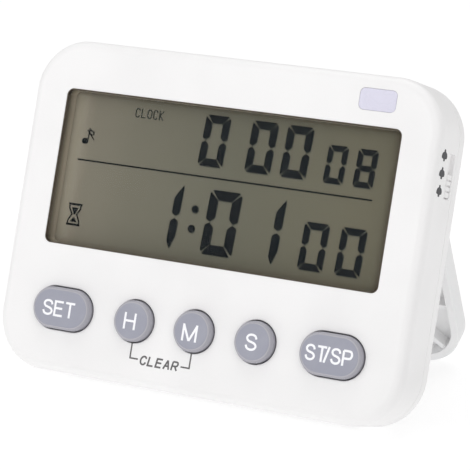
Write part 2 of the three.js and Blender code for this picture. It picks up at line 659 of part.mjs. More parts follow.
/** Pan-head screw along Y with its head at the back. */
function screw(name, x, z, underHead, size) {
  const shaft = rod(size.radius, x, z, size.tip, underHead + 0.1, 16);
  const head = rod(size.headRadius, x, z, underHead, underHead + size.headHeight, 20);
  const slots = [[1.2, 0.25], [0.25, 1.2]].map(([dx, dz]) =>
    block(x - dx, x + dx, underHead + size.headHeight - 0.5, DEPTH + 1, z - dz, z + dz));
  return piece(name, cut(shaft.add(head), slots), STEEL);
}

// ---------------------------------------------------------------- assembly
const timer = new THREE.Group();
timer.add(
  frontShell(),
  rearShell(),
  displayWindow(),
  lcdBezel(),
  lcdPanel(),
  zebraStrip(),
  ...KEYS.map(pushButton),
  keypadMat(),
  lightLens(),
  alarmLed(),
  switchBody(),
  switchKnob(),
  mainBoard(),
  controllerChip(),
  clockCrystal(),
  batteryHolder(),
  coinCell(),
  negativeContact(),
  positiveContact(),
  batteryDoor(),
  buzzerDisc(),
  buzzerWire('buzzer_wire_red', RED_WIRE, -0.9),
  buzzerWire('buzzer_wire_black', BLACK_WIRE, 0.9),
  stand(),
  magnet('magnet_left', -1),
  magnet('magnet_right', 1),
  ...CASE_SCREWS.map(({ name, x, z, seat }) => screw(name, x, z, seat + GAP, CASE_SCREW)),
  ...BOARD_SCREWS.map(({ name, x, z }) => screw(name, x, z, BOARD_BACK + GAP, BOARD_SCREW)),
);

// Lean the timer back, stand it on the table and centre it front to back.
timer.rotation.x = -LEAN;
const placed = new THREE.Box3().setFromObject(timer, true);
timer.position.set(0, -(placed.min.y + placed.max.y) / 2, -placed.min.z);

export default timer;
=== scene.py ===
"""Looks of a bench timer: a white case leaning back on its fold-out stand.

Every shape is drawn in the case's own axes, in millimetres: X across the front, Y from the front
face inwards and Z up the front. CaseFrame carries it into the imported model's frame, in metres.
"""

import json
import logging
import math
from collections.abc import Callable, Iterable, Sequence
from dataclasses import dataclass, field
from enum import Enum
from typing import Any

import bmesh
import bpy
from mathutils import Matrix, Vector


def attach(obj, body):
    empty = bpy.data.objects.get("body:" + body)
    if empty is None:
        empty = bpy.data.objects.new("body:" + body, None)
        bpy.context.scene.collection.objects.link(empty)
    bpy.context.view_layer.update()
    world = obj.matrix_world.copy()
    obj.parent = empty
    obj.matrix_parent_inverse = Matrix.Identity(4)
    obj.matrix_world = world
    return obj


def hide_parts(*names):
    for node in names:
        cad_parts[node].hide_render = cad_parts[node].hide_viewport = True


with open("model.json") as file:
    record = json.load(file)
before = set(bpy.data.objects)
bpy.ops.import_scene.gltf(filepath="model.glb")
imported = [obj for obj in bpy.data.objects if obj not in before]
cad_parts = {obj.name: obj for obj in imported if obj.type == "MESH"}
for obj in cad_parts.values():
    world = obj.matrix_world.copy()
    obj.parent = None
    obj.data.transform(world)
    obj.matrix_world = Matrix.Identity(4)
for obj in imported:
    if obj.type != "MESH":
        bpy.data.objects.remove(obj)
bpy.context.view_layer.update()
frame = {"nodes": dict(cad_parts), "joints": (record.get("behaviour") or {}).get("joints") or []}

LOG = logging.getLogger("timer")
MM = 0.001

Point2 = tuple[float, float]
Path2 = list[Point2]
Colour = tuple[float, float, float]
Band = tuple[float, float, float]
Ring = Callable[[float], Sequence[Point2]]
Alphabet = dict[str, list[tuple[bool, Path2]]]

GAP = 0.3  # room between fixed parts
WALL = 1.8  # thickness of the case's wall
DEPTH = 16.5  # depth of the whole case
SEAM = 11.5  # depth at which its two halves meet
SEAM_LINE = 0.12  # width of the line between them
PIVOT = Vector((0.0, 15.2, 57.748))  # the stand's hinge
STAND_SIDE = 43.5  # half width of the stand
STAND_LENGTH = 58.41  # from its hinge to its foot
STAND_BAR = 43.0  # from its hinge to the bar that joins its arms
STAND_PLAY = 0.35  # room round it when it is folded
PRINT = 0.012  # how far a print stands out
PRINT_ROOT = 0.02  # how far it reaches into what it is printed on
FACE = 0.02  # the front sits back a little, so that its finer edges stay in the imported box
TUCK = 0.045  # and so do the side walls
KEY_FACE = -1.73  # the keys stand out of the front
KEY_ROW = 14.4  # height of their centres
KEY_PLAY = 0.27  # room round a key in its opening
BAY_Z = 34.0  # height of the round battery door's centre
SOUNDER = (-21.8, 44.0)  # centre of the sounder's holes
MAGNET_X, MAGNET_Z = 24.0, 66.6  # centres of the two magnets
WHOLE = 60.0  # a reach that passes right through the case


class Body(Enum):
    """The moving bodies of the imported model."""

    CASE = "case"
    SET = "set_button"
    HOUR = "hour_button"
    MINUTE = "minute_button"
    SECOND = "second_button"
    START_STOP = "start_stop_button"
    SWITCH = "alarm_switch"
    DOOR = "battery_door"
    STAND = "stand"


class Join(Enum):
    """How two solids are combined."""

    ADD = "UNION"
    CUT = "DIFFERENCE"
    COMMON = "INTERSECT"


# ------------------------------------------------------------------ axes and solids
@dataclass(frozen=True)
class CaseFrame:
    """Carries the case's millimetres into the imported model's metres.

    Attributes:
        matrix: the case's axes and origin.
    """

    matrix: Matrix

    @classmethod
    def from_joints(cls, joints: Iterable[dict[str, Any]]) -> "CaseFrame":
        """Finds the case's axes from the stand's hinge and a key's travel.

        Args:
            joints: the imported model's joints.

        Returns:
            The frame.
        """
        named = {joint["name"]: joint for joint in joints}
        across = Vector(named["stand_hinge"]["axis"])
        inward = Vector(named["set_press"]["axis"])
        turn = Matrix((across, inward, across.cross(inward))).transposed()
        origin = Vector(named["stand_hinge"]["pos_m"]) - turn @ PIVOT * MM
        return cls(Matrix.Translation(origin) @ (turn * MM).to_4x4())

    def axis(self, column: int) -> Vector:
        """Unit direction of one of the case's axes."""
        return self.matrix.col[column].xyz.normalized()

    def origin(self) -> Vector:
        """The case's origin, in metres."""
        return self.matrix.translation


@dataclass(frozen=True)
class Outline:
    """Rectangle with round corners; a circle or an oval where the corner fills it.

    Attributes:
        x: centre across.
        z: centre height.
        half_x: half width.
        half_z: half height.
        corner: corner radius.
        steps: steps in each corner.
    """

    x: float
    z: float
    half_x: float
    half_z: float
    corner: float
    steps: int = 12

    def ring(self, grow: float = 0.0) -> list[Point2]:
        """Points round the outline, drawn out by a distance.

        Args:
            grow: distance outwards, negative for inwards.

        Returns:
            The points, anticlockwise.
        """
        radius = max(self.corner + grow, 0.05)
        reach_x = self.half_x + grow - radius
        reach_z = self.half_z + grow - radius
        points = []
        for quarter, (side, rise) in enumerate(((1, -1), (1, 1), (-1, 1), (-1, -1))):
            for step in range(self.steps + 1):
                angle = math.pi / 2 * (quarter - 1 + step / self.steps)
                x = self.x + side * reach_x + radius * math.cos(angle)
                z = self.z + rise * reach_z + radius * math.sin(angle)
                points.append((x, z))
        return points


def circle(x: float, z: float, radius: float, steps: int = 16) -> Outline:
    """Circle as an outline.

    Args:
        x: centre across.
        z: centre height.
        radius: its radius.
        steps: steps in each quarter.

    Returns:
        The outline.
    """
    return Outline(x, z, radius, radius, radius, steps)


def quarter_round(radius: float, steps: int = 6) -> list[Point2]:
    """Insets and depths of a rounded edge, from the side wall to the face.

    Args:
        radius: radius of the edge.
        steps: number of steps.

    Returns:
        Pairs of inset from the side and depth below the face.
    """
    angles = [math.pi / 2 * step / steps for step in range(steps + 1)]
    return [(radius * (1 - math.cos(a)), radius * (1 - math.sin(a))) for a in angles]


class Solid:
    """Closed mesh in the case's millimetres that can be joined to others and cut."""

    def __init__(self, mesh: bpy.types.Mesh) -> None:
        """Keeps the mesh."""
        self.mesh = mesh

    @classmethod
    def from_rings(cls, rings: Sequence[Sequence[Sequence[float]]]) -> "Solid":
        """Skin over rings of equally many points, closed at both ends.

        Args:
            rings: the rings, from one end to the other.

        Returns:
            The solid.
        """
        shape = bmesh.new()
        rows = [[shape.verts.new(point) for point in ring] for ring in rings]
        for low, high in zip(rows, rows[1:]):
            for here in range(len(low)):
                after = (here + 1) % len(low)
                shape.faces.new((low[here], low[after], high[after], high[here]))
        shape.faces.new(rows[0])
        shape.faces.new(rows[-1])
        bmesh.ops.remove_doubles(shape, verts=shape.verts, dist=1e-4)
        bmesh.ops.recalc_face_normals(shape, faces=shape.faces)
        mesh = bpy.data.meshes.new("solid")
        shape.to_mesh(mesh)
        shape.free()
        return cls(mesh)

    @classmethod
    def slab(cls, points: Sequence[Point2], front: float, back: float) -> "Solid":
        """Flat slab between two depths.

        Args:
            points: its outline in X and Z.
            front: depth of its front face.
            back: depth of its back face.

        Returns:
            The solid.
        """
        return cls.from_rings([[(x, y, z) for x, z in points] for y in (front, back)])

    @classmethod
    def soft_slab(
        cls,
        ring: Ring,
        front: float,
        back: float,
        front_edge: float = 0.0,
        back_edge: float = 0.0,
        steps: int = 6,
    ) -> "Solid":
        """Slab whose front and back edges are rounded.

        Args:
            ring: gives the outline for a growth.
            front: depth of its front face.
            back: depth of its back face.
            front_edge: radius of its front edge.
            back_edge: radius of its back edge.
            steps: steps in each rounded edge.

        Returns:
            The solid.
        """
        rows = [(-inset, front + down) for inset, down in reversed(quarter_round(front_edge, steps))]
        rows += [(-inset, back - down) for inset, down in quarter_round(back_edge, steps)]
        if front_edge == 0:
            rows = rows[steps:]
        if back_edge == 0:
            rows = rows[: len(rows) - steps]
        return cls.from_rings([[(x, y, z) for x, z in ring(grow)] for grow, y in rows])

    @classmethod
    def opening(cls, ring: Ring, face: float, end: float, edge: float, steps: int = 4) -> "Solid":
        """Cutter for an opening whose edge is rounded over at the face.

        Args:
            ring: gives the opening's outline for a growth.
            face: depth of the face that it opens in.
            end: depth that it ends at.
            edge: radius of the rounded edge.
            steps: steps in the rounded edge.

        Returns:
            The cutter.
        """
        inward = 1.0 if end > face else -1.0
        rows = [(edge, face - inward)]
        rows += [(grow, face + inward * down) for grow, down in reversed(quarter_round(edge, steps))]
        rows.append((0.0, end))
        return cls.from_rings([[(x, y, z) for x, z in ring(grow)] for grow, y in rows])

    @classmethod
    def bar(cls, points: Sequence[Point2], start: float, end: float) -> "Solid":
        """Bar along X.

        Args:
            points: its outline in Y and Z.
            start: where it starts across.
            end: where it ends across.

        Returns:
            The solid.
        """
        return cls.from_rings([[(x, y, z) for y, z in points] for x in (start, end)])

    @classmethod
    def box(cls, low: Sequence[float], high: Sequence[float]) -> "Solid":
        """Block between two corners, as a cutter or a part of a shape."""
        corners = [(low[0], low[2]), (high[0], low[2]), (high[0], high[2]), (low[0], high[2])]
        return cls.slab(corners, low[1], high[1])

    @classmethod
    def gather(cls, solids: Sequence["Solid"]) -> "Solid":
        """Several separate solids as one mesh.

        Args:
            solids: solids that don't touch.

        Returns:
            The gathered solid.
        """
        shape = bmesh.new()
        for solid in solids:
            shape.from_mesh(solid.mesh)
        mesh = bpy.data.meshes.new("solids")
        shape.to_mesh(mesh)
        shape.free()
        return cls(mesh)

    def _with(self, other: "Solid", how: Join) -> "Solid":
        """Combines two solids.

        Args:
            other: the second solid.
            how: the way that they are combined.

        Returns:
            The result.
        """
        holder = bpy.data.objects.new("holder", self.mesh)
        tool = bpy.data.objects.new("tool", other.mesh)
        for each in (holder, tool):
            bpy.context.scene.collection.objects.link(each)
        modifier = holder.modifiers.new("join", "BOOLEAN")
        modifier.operation = how.value
        modifier.solver = "MANIFOLD"
        modifier.object = tool
        graph = bpy.context.evaluated_depsgraph_get()
        mesh = bpy.data.meshes.new_from_object(holder.evaluated_get(graph))
        for each in (holder, tool):
            bpy.data.objects.remove(each)
        return Solid(mesh)

    @staticmethod
    def fused(solids: Sequence["Solid"]) -> "Solid":
        """Joins overlapping solids into one skin.

        Args:
            solids: the solids, at least one.

        Returns:
            Their union.
        """
        return solids[0].add(*solids[1:])

    def add(self, *others: "Solid") -> "Solid":
        """Joins other solids on.

        Args:
            others: the solids to join on.

        Returns:
            The joined solid.
        """
        result = self
        for other in others:
            result = result._with(other, Join.ADD)
        return result

    def cut(self, *others: "Solid") -> "Solid":
        """Cuts other solids out.

        Args:
            others: the solids to cut out.

        Returns:
            The solid that is left.
        """
        result = self
        for other in others:
            result = result._with(other, Join.CUT)
        return result

    def common(self, other: "Solid") -> "Solid":
        """Keeps what lies in both."""
        return self._with(other, Join.COMMON)

    def moved(self, matrix: Matrix) -> "Solid":
        """The same solid carried by a matrix.

        Args:
            matrix: where it goes.

        Returns:
            The moved solid.
        """
        mesh = self.mesh.copy()
        mesh.transform(matrix)
        return Solid(mesh)


def ribbon(points: Sequence[Point2], width: float) -> list[Point2]:
    """Outline of a stroke of even width along a path.

    Args:
        points: the path.
        width: the stroke's width.

    Returns:
        The outline, down one side and back up the other.
    """
    path = [Vector(point) for point in points]
    left, right = [], []
    for here, point in enumerate(path):
        before = path[max(here - 1, 0)]
        after = path[min(here + 1, len(path) - 1)]
        first = (point - before if here else after - point).normalized()
        second = (after - point if here < len(path) - 1 else point - before).normalized()
        mean = (first + second).normalized()
        side = Vector((-mean.y, mean.x))
        reach = width / 2 / max(mean.dot(first), 0.5)
        left.append(tuple(point + side * reach))
        right.append(tuple(point - side * reach))
    return left + right[::-1]


def curve_through(points: Sequence[Point2], steps: int = 5) -> list[Point2]:
    """Smooth path through points.

    Args:
        points: what it passes through.
        steps: steps between two points.

    Returns:
        The path.
    """
    path = [Vector(point) for point in points]
    smooth = []
    for here in range(len(path) - 1):
        a = path[max(here - 1, 0)]
        b, c = path[here], path[here + 1]
        d = path[min(here + 2, len(path) - 1)]
        for step in range(steps):
            t = step / steps
            bend = (2 * a - 5 * b + 4 * c - d) * t * t + (3 * b - a - 3 * c + d) * t**3
            smooth.append(tuple(b + ((c - a) * t + bend) / 2))
    smooth.append(tuple(path[-1]))
    return smooth


# ------------------------------------------------------------------ shader graphs
class Wire:
    """One socket of a material's graph. Sums, differences and products add Math nodes."""

    def __init__(self, graph: "Graph", socket: bpy.types.NodeSocket) -> None:
        """Keeps the graph and the socket."""
        self.graph = graph
        self.socket = socket

    def _math(self, operation: str, first: "Wire | float", second: "Wire | float") -> "Wire":
        """Adds a Math node.

        Args:
            operation: the node's operation.
            first: first value.
            second: second value.

        Returns:
            Its result.
        """
        return self.graph.node("ShaderNodeMath", {"operation": operation}, {0: first, 1: second})

    def __add__(self, other: "Wire | float") -> "Wire":
        """Sum."""
        return self._math("ADD", self, other)

    def __radd__(self, other: float) -> "Wire":
        """Sum, with the number first."""
        return self._math("ADD", other, self)

    def __sub__(self, other: "Wire | float") -> "Wire":
        """Difference."""
        return self._math("SUBTRACT", self, other)

    def __rsub__(self, other: float) -> "Wire":
        """Difference, with the number first."""
        return self._math("SUBTRACT", other, self)

    def __mul__(self, other: "Wire | float") -> "Wire":
        """Product."""
        return self._math("MULTIPLY", self, other)

    def __rmul__(self, other: float) -> "Wire":
        """Product, with the number first."""
        return self._math("MULTIPLY", other, self)

    def between(self, low: float, high: float) -> "Wire":
        """Smooth step from 0 at the low value to 1 at the high one.

        Args:
            low: where the step starts.
            high: where it ends.

        Returns:
            A value from 0 to 1.
        """
        settings = {"interpolation_type": "SMOOTHSTEP"}
        return self.graph.node("ShaderNodeMapRange", settings, {0: self, 1: low, 2: high})


class Graph:
    """Node graph of one new material."""

    def __init__(self, name: str) -> None:
        """Makes an empty material.

        Args:
            name: the material's name.
        """
        self.material = bpy.data.materials.new(name)
        self.material.use_nodes = True
        self.tree = self.material.node_tree
        self.tree.nodes.clear()

    def node(
        self,
        kind: str,
        settings: dict[str, Any] | None = None,
        inputs: dict[str | int, Any] | None = None,
        output: str | int = 0,
    ) -> Wire:
        """Adds a node that has outputs.

        Args:
            kind: the node's type.
            settings: its properties, or "stops" for a ramp's places and colours.
            inputs: values or wires for its sockets.
            output: the output that is wanted.

        Returns:
            That output.
        """
        return Wire(self, self._add(kind, settings, inputs).outputs[output])

    def _add(
        self, kind: str, settings: dict[str, Any] | None, inputs: dict[str | int, Any] | None
    ) -> bpy.types.Node:
        """Adds a node.

        Args:
            kind: the node's type.
            settings: its properties, or "stops" for a ramp's places and colours.
            inputs: values or wires for its sockets.

        Returns:
            The node.
        """
        node = self.tree.nodes.new(kind)
        for name, value in (settings or {}).items():
            if name == "stops":
                self._set_stops(node.color_ramp.elements, value)
            else:
                setattr(node, name, value)
        for name, value in (inputs or {}).items():
            if isinstance(value, Wire):
                self.tree.links.new(value.socket, node.inputs[name])
            else:
                node.inputs[name].default_value = value
        return node

    @staticmethod
    def _set_stops(elements: Any, stops: Sequence[tuple[float, Colour]]) -> None:
        """Sets a ramp's places and colours.

        Args:
            elements: the ramp's stops.
            stops: their places and colours.
        """
        while len(elements) < len(stops):
            elements.new(1.0)
        for element, (place, colour) in zip(elements, stops):
            element.position = place
            element.color = (*colour, 1.0)

    def place(self) -> Wire:
        """Place on the object, in metres."""
        return self.node("ShaderNodeTexCoord", output="Object")

    def along(self, axis: Vector, origin: Vector) -> Wire:
        """Distance along one of the case's axes, in millimetres.

        Args:
            axis: the direction.
            origin: where it starts.

        Returns:
            The distance.
        """
        reach = self.node(
            "ShaderNodeVectorMath",
            {"operation": "SUBTRACT"},
            {0: self.place(), 1: tuple(origin)},
            "Vector",
        )
        settings = {"operation": "DOT_PRODUCT"}
        dot = self.node("ShaderNodeVectorMath", settings, {0: reach, 1: tuple(axis)}, "Value")
        return dot * (1 / MM)

    def noise(self, size_mm: float, detail: float = 3.0, roughness: float = 0.5) -> Wire:
        """Soft noise whose lumps have a size.

        Args:
            size_mm: size of a lump.
            detail: octaves.
            roughness: strength of the small ones.

        Returns:
            A value about one half.
        """
        inputs = {
            "Vector": self.place(),
            "Scale": 1 / (size_mm * MM),
            "Detail": detail,
            "Roughness": roughness,
        }
        return self.node("ShaderNodeTexNoise", None, inputs, "Fac")

    def blend(self, share: "Wire | float", first: "Wire | Colour", second: "Wire | Colour") -> Wire:
        """Mixes two colours.

        Args:
            share: share of the second colour.
            first: first colour.
            second: second colour.

        Returns:
            The colour.
        """
        ends = [end if isinstance(end, Wire) else (*end, 1.0) for end in (first, second)]
        settings = {"data_type": "RGBA"}
        return self.node("ShaderNodeMix", settings, {0: share, 6: ends[0], 7: ends[1]}, 2)

    def bump(self, height: Wire, depth_mm: float, strength: float = 1.0) -> Wire:
        """Normal from a height from 0 to 1.

        Args:
            height: the height.
            depth_mm: what a height of 1 stands for.
            strength: share of the effect.

        Returns:
            The normal.
        """
        inputs = {"Height": height, "Distance": depth_mm * MM, "Strength": strength}
        return self.node("ShaderNodeBump", None, inputs)

    def output(self, shader: Wire) -> bpy.types.Material:
        """Ends the graph with a shader."""
        self._add("ShaderNodeOutputMaterial", None, {"Surface": shader})
        return self.material

    def surface(self, **inputs: Any) -> bpy.types.Material:
        """Ends the graph with the principled shader.

        Args:
            **inputs: its sockets, with underscores for spaces.

        Returns:
            The material.
        """
        named = {name.replace("_", " "): value for name, value in inputs.items()}
        if "IOR" not in named:
            named["IOR"] = 1.46
        return self.output(self.node("ShaderNodeBsdfPrincipled", None, named))


def rgb(red: int, green: int, blue: int) -> Colour:
    """Linear colour from the usual 0 to 255 steps.

    Args:
        red: red step.
        green: green step.
        blue: blue step.

    Returns:
        The linear colour.
    """

    def linear(step: int) -> float:
        """One channel."""
        share = step / 255
        return share / 12.92 if share <= 0.04045 else ((share + 0.055) / 1.055) ** 2.4

    return linear(red), linear(green), linear(blue)


# ------------------------------------------------------------------ finishes
@dataclass(frozen=True)
class MouldedPlastic:
    """Satin moulded plastic with a fine spark-eroded grain.

    Attributes:
        name: the finish's name.
        colour: main colour.
        shade: colour of the slightly duller patches.
        roughness: mean roughness.
        grain_mm: size of the grain.
        grain_depth: its depth in millimetres.
    """

    name: str
    colour: Colour
    shade: Colour
    roughness: float = 0.42
    grain_mm: float = 0.16
    grain_depth: float = 0.006

    def build(self) -> bpy.types.Material:
        """Builds the material.

        Returns:
            The material.
        """
        graph = Graph(self.name)
        patches = graph.noise(17.0, 2.0).between(0.35, 0.7)
        specks = graph.noise(self.grain_mm * 2.4, 4.0, 0.6).between(0.3, 0.8)
        grain = graph.noise(self.grain_mm, 2.0, 0.6)
        colour = graph.blend(patches * 0.7 + specks * 0.3, self.colour, self.shade)
        return graph.surface(
            Base_Color=colour,
            Roughness=self.roughness - 0.04 + patches * 0.06 + specks * 0.03,
            Normal=graph.bump(grain, self.grain_depth, 0.6),
            Specular_IOR_Level=0.45,
        )


@dataclass(frozen=True)
class SoftKeyPlastic:
    """Grey key plastic, a little waxy, with a faint rubbed centre, painted light on its sloping rim and a
    painted highlight line where the rim meets the face.

    Attributes:
        name: the finish's name.
        colour: main colour.
        rubbed: colour where fingers rub it.
        rim: colour of the painted light on the sloping rim.
        line: colour of the painted highlight along the fine line where the rim meets the face.
        face: depth of the key's face, in millimetres.
    """

    name: str
    colour: Colour
    rubbed: Colour
    rim: Colour
    line: Colour
    face: float

    def build(self, case: CaseFrame) -> bpy.types.Material:
        """Builds the material.

        Args:
            case: the case's axes.

        Returns:
            The material.
        """
        graph = Graph(self.name)
        rubbed = graph.noise(5.5, 2.0).between(0.42, 0.75)
        specks = graph.noise(0.35, 4.0, 0.6).between(0.35, 0.75)
        top = graph.blend(rubbed * 0.6 + specks * 0.2, self.colour, self.rubbed)
        down = graph.along(case.axis(1), case.origin()) - self.face
        # painted light over the sloping rim, and a painted highlight where it meets the face
        rim = down.between(0.02, 0.1)
        line = rim * (1 - down.between(0.1, 0.24)) * 0.5
        return graph.surface(
            Base_Color=graph.blend(line, graph.blend(rim * 0.7, top, self.rim), self.line),
            Roughness=0.4 - rubbed * 0.06 + specks * 0.04,
            Normal=graph.bump(graph.noise(0.14, 2.0, 0.6), 0.006, 0.5),
            Specular_IOR_Level=0.4,
        )


@dataclass(frozen=True)
class PrintedInk:
    """Thin pad-printed ink.

    Attributes:
        name: the finish's name.
        colour: the ink.
        thin: colour where it is thin.
        gloss: strength of its sheen.
    """

    name: str
    colour: Colour
    thin: Colour
    gloss: float = 0.4

    def build(self) -> bpy.types.Material:
        """Builds the material.

        Returns:
            The material.
        """
        graph = Graph(self.name)
        thin = graph.noise(0.3, 3.0, 0.6).between(0.45, 0.8)
        return graph.surface(
            Base_Color=graph.blend(thin * 0.5, self.colour, self.thin),
            Roughness=0.5 + thin * 0.1,
            Normal=graph.bump(thin, 0.003, 0.4),
            Specular_IOR_Level=self.gloss,
        )


@dataclass(frozen=True)
class DisplayGlass:
    """Grey-green polariser of a reflective display, with painted light that changes over its width and
    painted shade along its edges.

    Attributes:
        name: the finish's name.
        stops: places across the width, from 0 to 1, and their colours: the polariser's grey-green under a
            painted reflection, with painted light at the left that offsets the case wall's shadow.
        half_width: half of the width that the colours run over, in millimetres.
        edge: colour of the painted shade towards the frame.
        right: where the painted shade along the right-hand edge starts, where it ends, and how much.
        left: the same for the left-hand edge, counted to the left.
        top: the same for the upper edge, counted upwards.
        bottom: the same for the lower edge, counted downwards.
    """

    name: str
    stops: tuple[tuple[float, Colour], ...]
    half_width: float
    edge: Colour
    right: Band = (37.4, 40.0, 0.9)
    left: Band = (39.9, 41.4, 0.3)
    top: Band = (62.6, 64.0, 0.5)
    bottom: Band = (-31.0, -28.8, 0.4)

    def build(self, case: CaseFrame) -> bpy.types.Material:
        """Builds the material.

        Args:
            case: the case's axes.

        Returns:
            The material.
        """
        graph = Graph(self.name)
        across = graph.along(case.axis(0), case.origin())
        up = graph.along(case.axis(2), case.origin())
        share = across * (0.5 / self.half_width) + 0.5 + graph.noise(30.0, 1.0) * 0.02 - 0.01
        # painted light: the polariser's colour under a painted reflection, paler at the left
        polariser_with_painted_light = graph.node("ShaderNodeValToRGB", {"stops": self.stops}, {0: share})
        edges = (
            (across, self.right),
            (0 - across, self.left),
            (up, self.top),
            (0 - up, self.bottom),
        )
        # painted shade along the display's four edges
        dark = sum(reach.between(start, end) * most for reach, (start, end, most) in edges)
        fibre = graph.noise(0.12, 2.0, 0.7).between(0.3, 0.7)
        pale = graph.blend(fibre * 0.1, polariser_with_painted_light, rgb(150, 146, 132))
        return graph.surface(
            Base_Color=graph.blend(dark, pale, self.edge),
            Roughness=0.42 + fibre * 0.08,
            Normal=graph.bump(fibre, 0.002, 0.3),
            Specular_IOR_Level=0.06,
        )


@dataclass(frozen=True)
class ClearPlate:
    """Thin clear plate: what lies behind shows through, under a soft gloss.

    Attributes:
        name: the finish's name.
        tint: colour that it lets through.
    """

    name: str
    tint: Colour

    def build(self) -> bpy.types.Material:
        """Builds the material.

        Returns:
            The material.
        """
        graph = Graph(self.name)
        smear = graph.noise(14.0, 3.0, 0.6).between(0.4, 0.75)
        clear = graph.node("ShaderNodeBsdfTransparent", None, {"Color": (*self.tint, 1.0)})
        gloss = graph.node("ShaderNodeBsdfGlossy", None, {"Roughness": 0.08 + smear * 0.1})
        fresnel = graph.node("ShaderNodeFresnel", None, {"IOR": 1.46})
        mixed = graph.node("ShaderNodeMixShader", None, {0: fresnel * 0.1, 1: clear, 2: gloss})
        return graph.output(mixed)


@dataclass(frozen=True)
class LampPlastic:
    """Milky lamp cover with a faint lavender cast.

    Attributes:
        name: the finish's name.
        colour: main colour.
        deep: colour of its deeper parts.
    """

    name: str
    colour: Colour
    deep: Colour

    def build(self) -> bpy.types.Material:
        """Builds the material.

        Returns:
            The material.
        """
        graph = Graph(self.name)
        cloud = graph.noise(2.6, 2.0).between(0.3, 0.7)
        return graph.surface(
            Base_Color=graph.blend(cloud * 0.6, self.colour, self.deep),
            Roughness=0.22 + cloud * 0.08,
            Normal=graph.bump(graph.noise(0.4, 2.0), 0.006, 0.4),
            Coat_Weight=0.3,
        )


@dataclass(frozen=True)
class PlatedMetal:
    """Plated or drawn metal with fine marks.

    Attributes:
        name: the finish's name.
        colour: main colour.
        dull: colour of the duller patches.
        roughness: mean roughness.
    """

    name: str
    colour: Colour
    dull: Colour
    roughness: float = 0.3

    def build(self) -> bpy.types.Material:
        """Builds the material.

        Returns:
            The material.
        """
        graph = Graph(self.name)
        patches = graph.noise(3.5, 3.0, 0.6).between(0.35, 0.75)
        marks = graph.noise(0.2, 3.0, 0.7)
        return graph.surface(
            Base_Color=graph.blend(patches, self.colour, self.dull),
            Metallic=1.0,
            Roughness=self.roughness - 0.05 + patches * 0.14,
            Normal=graph.bump(marks, 0.006, 0.4),
        )


@dataclass(frozen=True)
class BoardMask:
    """Green solder mask over copper tracks.

    Attributes:
        name: the finish's name.
        mask: colour of the mask.
        copper: its colour over the tracks.
    """

    name: str
    mask: Colour
    copper: Colour

    def build(self) -> bpy.types.Material:
        """Builds the material.

        Returns:
            The material.
        """
        graph = Graph(self.name)
        cells = graph.node(
            "ShaderNodeTexVoronoi",
            {"feature": "DISTANCE_TO_EDGE"},
            {"Vector": graph.place(), "Scale": 1 / (5.0 * MM)},
        )
        track = 1 - cells.between(0.03, 0.06)
        cloth = graph.noise(0.5, 2.0)
        return graph.surface(
            Base_Color=graph.blend(track * 0.8 + cloth * 0.1, self.mask, self.copper),
            Roughness=0.36 + cloth * 0.12,
            Normal=graph.bump(track, 0.03, 0.7),
        )


@dataclass(frozen=True)
class MattRubber:
    """Matt rubber, silicone or resin.

    Attributes:
        name: the finish's name.
        colour: main colour.
        dust: colour of the dusty patches.
        roughness: mean roughness.
    """

    name: str
    colour: Colour
    dust: Colour
    roughness: float = 0.75

    def build(self) -> bpy.types.Material:
        """Builds the material.

        Returns:
            The material.
        """
        graph = Graph(self.name)
        dust = graph.noise(4.0, 4.0, 0.6).between(0.4, 0.8)
        return graph.surface(
            Base_Color=graph.blend(dust, self.colour, self.dust),
            Roughness=self.roughness - 0.05 + dust * 0.1,
            Normal=graph.bump(graph.noise(0.25, 3.0, 0.6), 0.012, 0.6),
        )


@dataclass(frozen=True)
class SmokedFrame:
    """Brown smoked plastic of the display's frame, with painted light: paler towards the display, as if the
    display lit it.

    Attributes:
        name: the finish's name.
        dark: colour at the front: the frame's own brown, which also stands in for the shade along the
            display's edge.
        lit: painted light, the colour beside the display.
        depth: depths in millimetres between which the painted light comes in.
    """

    name: str
    dark: Colour
    lit: Colour
    depth: Point2

    def build(self, case: CaseFrame) -> bpy.types.Material:
        """Builds the material.

        Args:
            case: the case's axes.

        Returns:
            The material.
        """
        graph = Graph(self.name)
        # painted light: paler the deeper it lies, towards the display
        lit = graph.along(case.axis(1), case.origin()).between(*self.depth)
        cloud = graph.noise(3.0, 3.0, 0.6)
        return graph.surface(
            Base_Color=graph.blend(lit * 0.9 + cloud * 0.1, self.dark, self.lit),
            Roughness=0.5 + cloud * 0.1,
            Normal=graph.bump(graph.noise(0.2, 2.0), 0.005, 0.5),
            Specular_IOR_Level=0.2,
        )


PlainFinish = (
    MouldedPlastic | PrintedInk | ClearPlate | LampPlastic | PlatedMetal | BoardMask | MattRubber
)
PlacedFinish = SoftKeyPlastic | DisplayGlass | SmokedFrame
Finish = PlainFinish | PlacedFinish

WHITE_CASE = MouldedPlastic("white_case_plastic", rgb(244, 243, 243), rgb(240, 239, 239))
WHITE_STAND = MouldedPlastic("white_stand_plastic", rgb(237, 237, 237), rgb(233, 233, 234), 0.46)
GREY_KEYS = SoftKeyPlastic(
    "grey_key_plastic",
    rgb(156, 157, 170),
    rgb(163, 164, 175),
    # painted light on the rim, then the painted highlight line
    rgb(170, 168, 174),
    rgb(196, 194, 198),
    KEY_FACE,
)
WHITE_INK = PrintedInk("white_key_ink", rgb(252, 252, 255), rgb(238, 239, 246))
GREY_INK = PrintedInk("grey_case_ink", rgb(98, 96, 97), rgb(118, 116, 117))
DARK_INK = PrintedInk("dark_case_ink", rgb(60, 60, 64), rgb(96, 96, 100))
SEGMENT_INK = PrintedInk("display_segments", rgb(8, 15, 20), rgb(16, 23, 28), 0.02)
FINE_SEGMENT_INK = PrintedInk("display_fine_print", rgb(50, 54, 52), rgb(60, 63, 60), 0.03)
SEGMENT_SHADOW = PrintedInk("display_segment_shadows", rgb(86, 88, 80), rgb(94, 95, 86), 0.03)
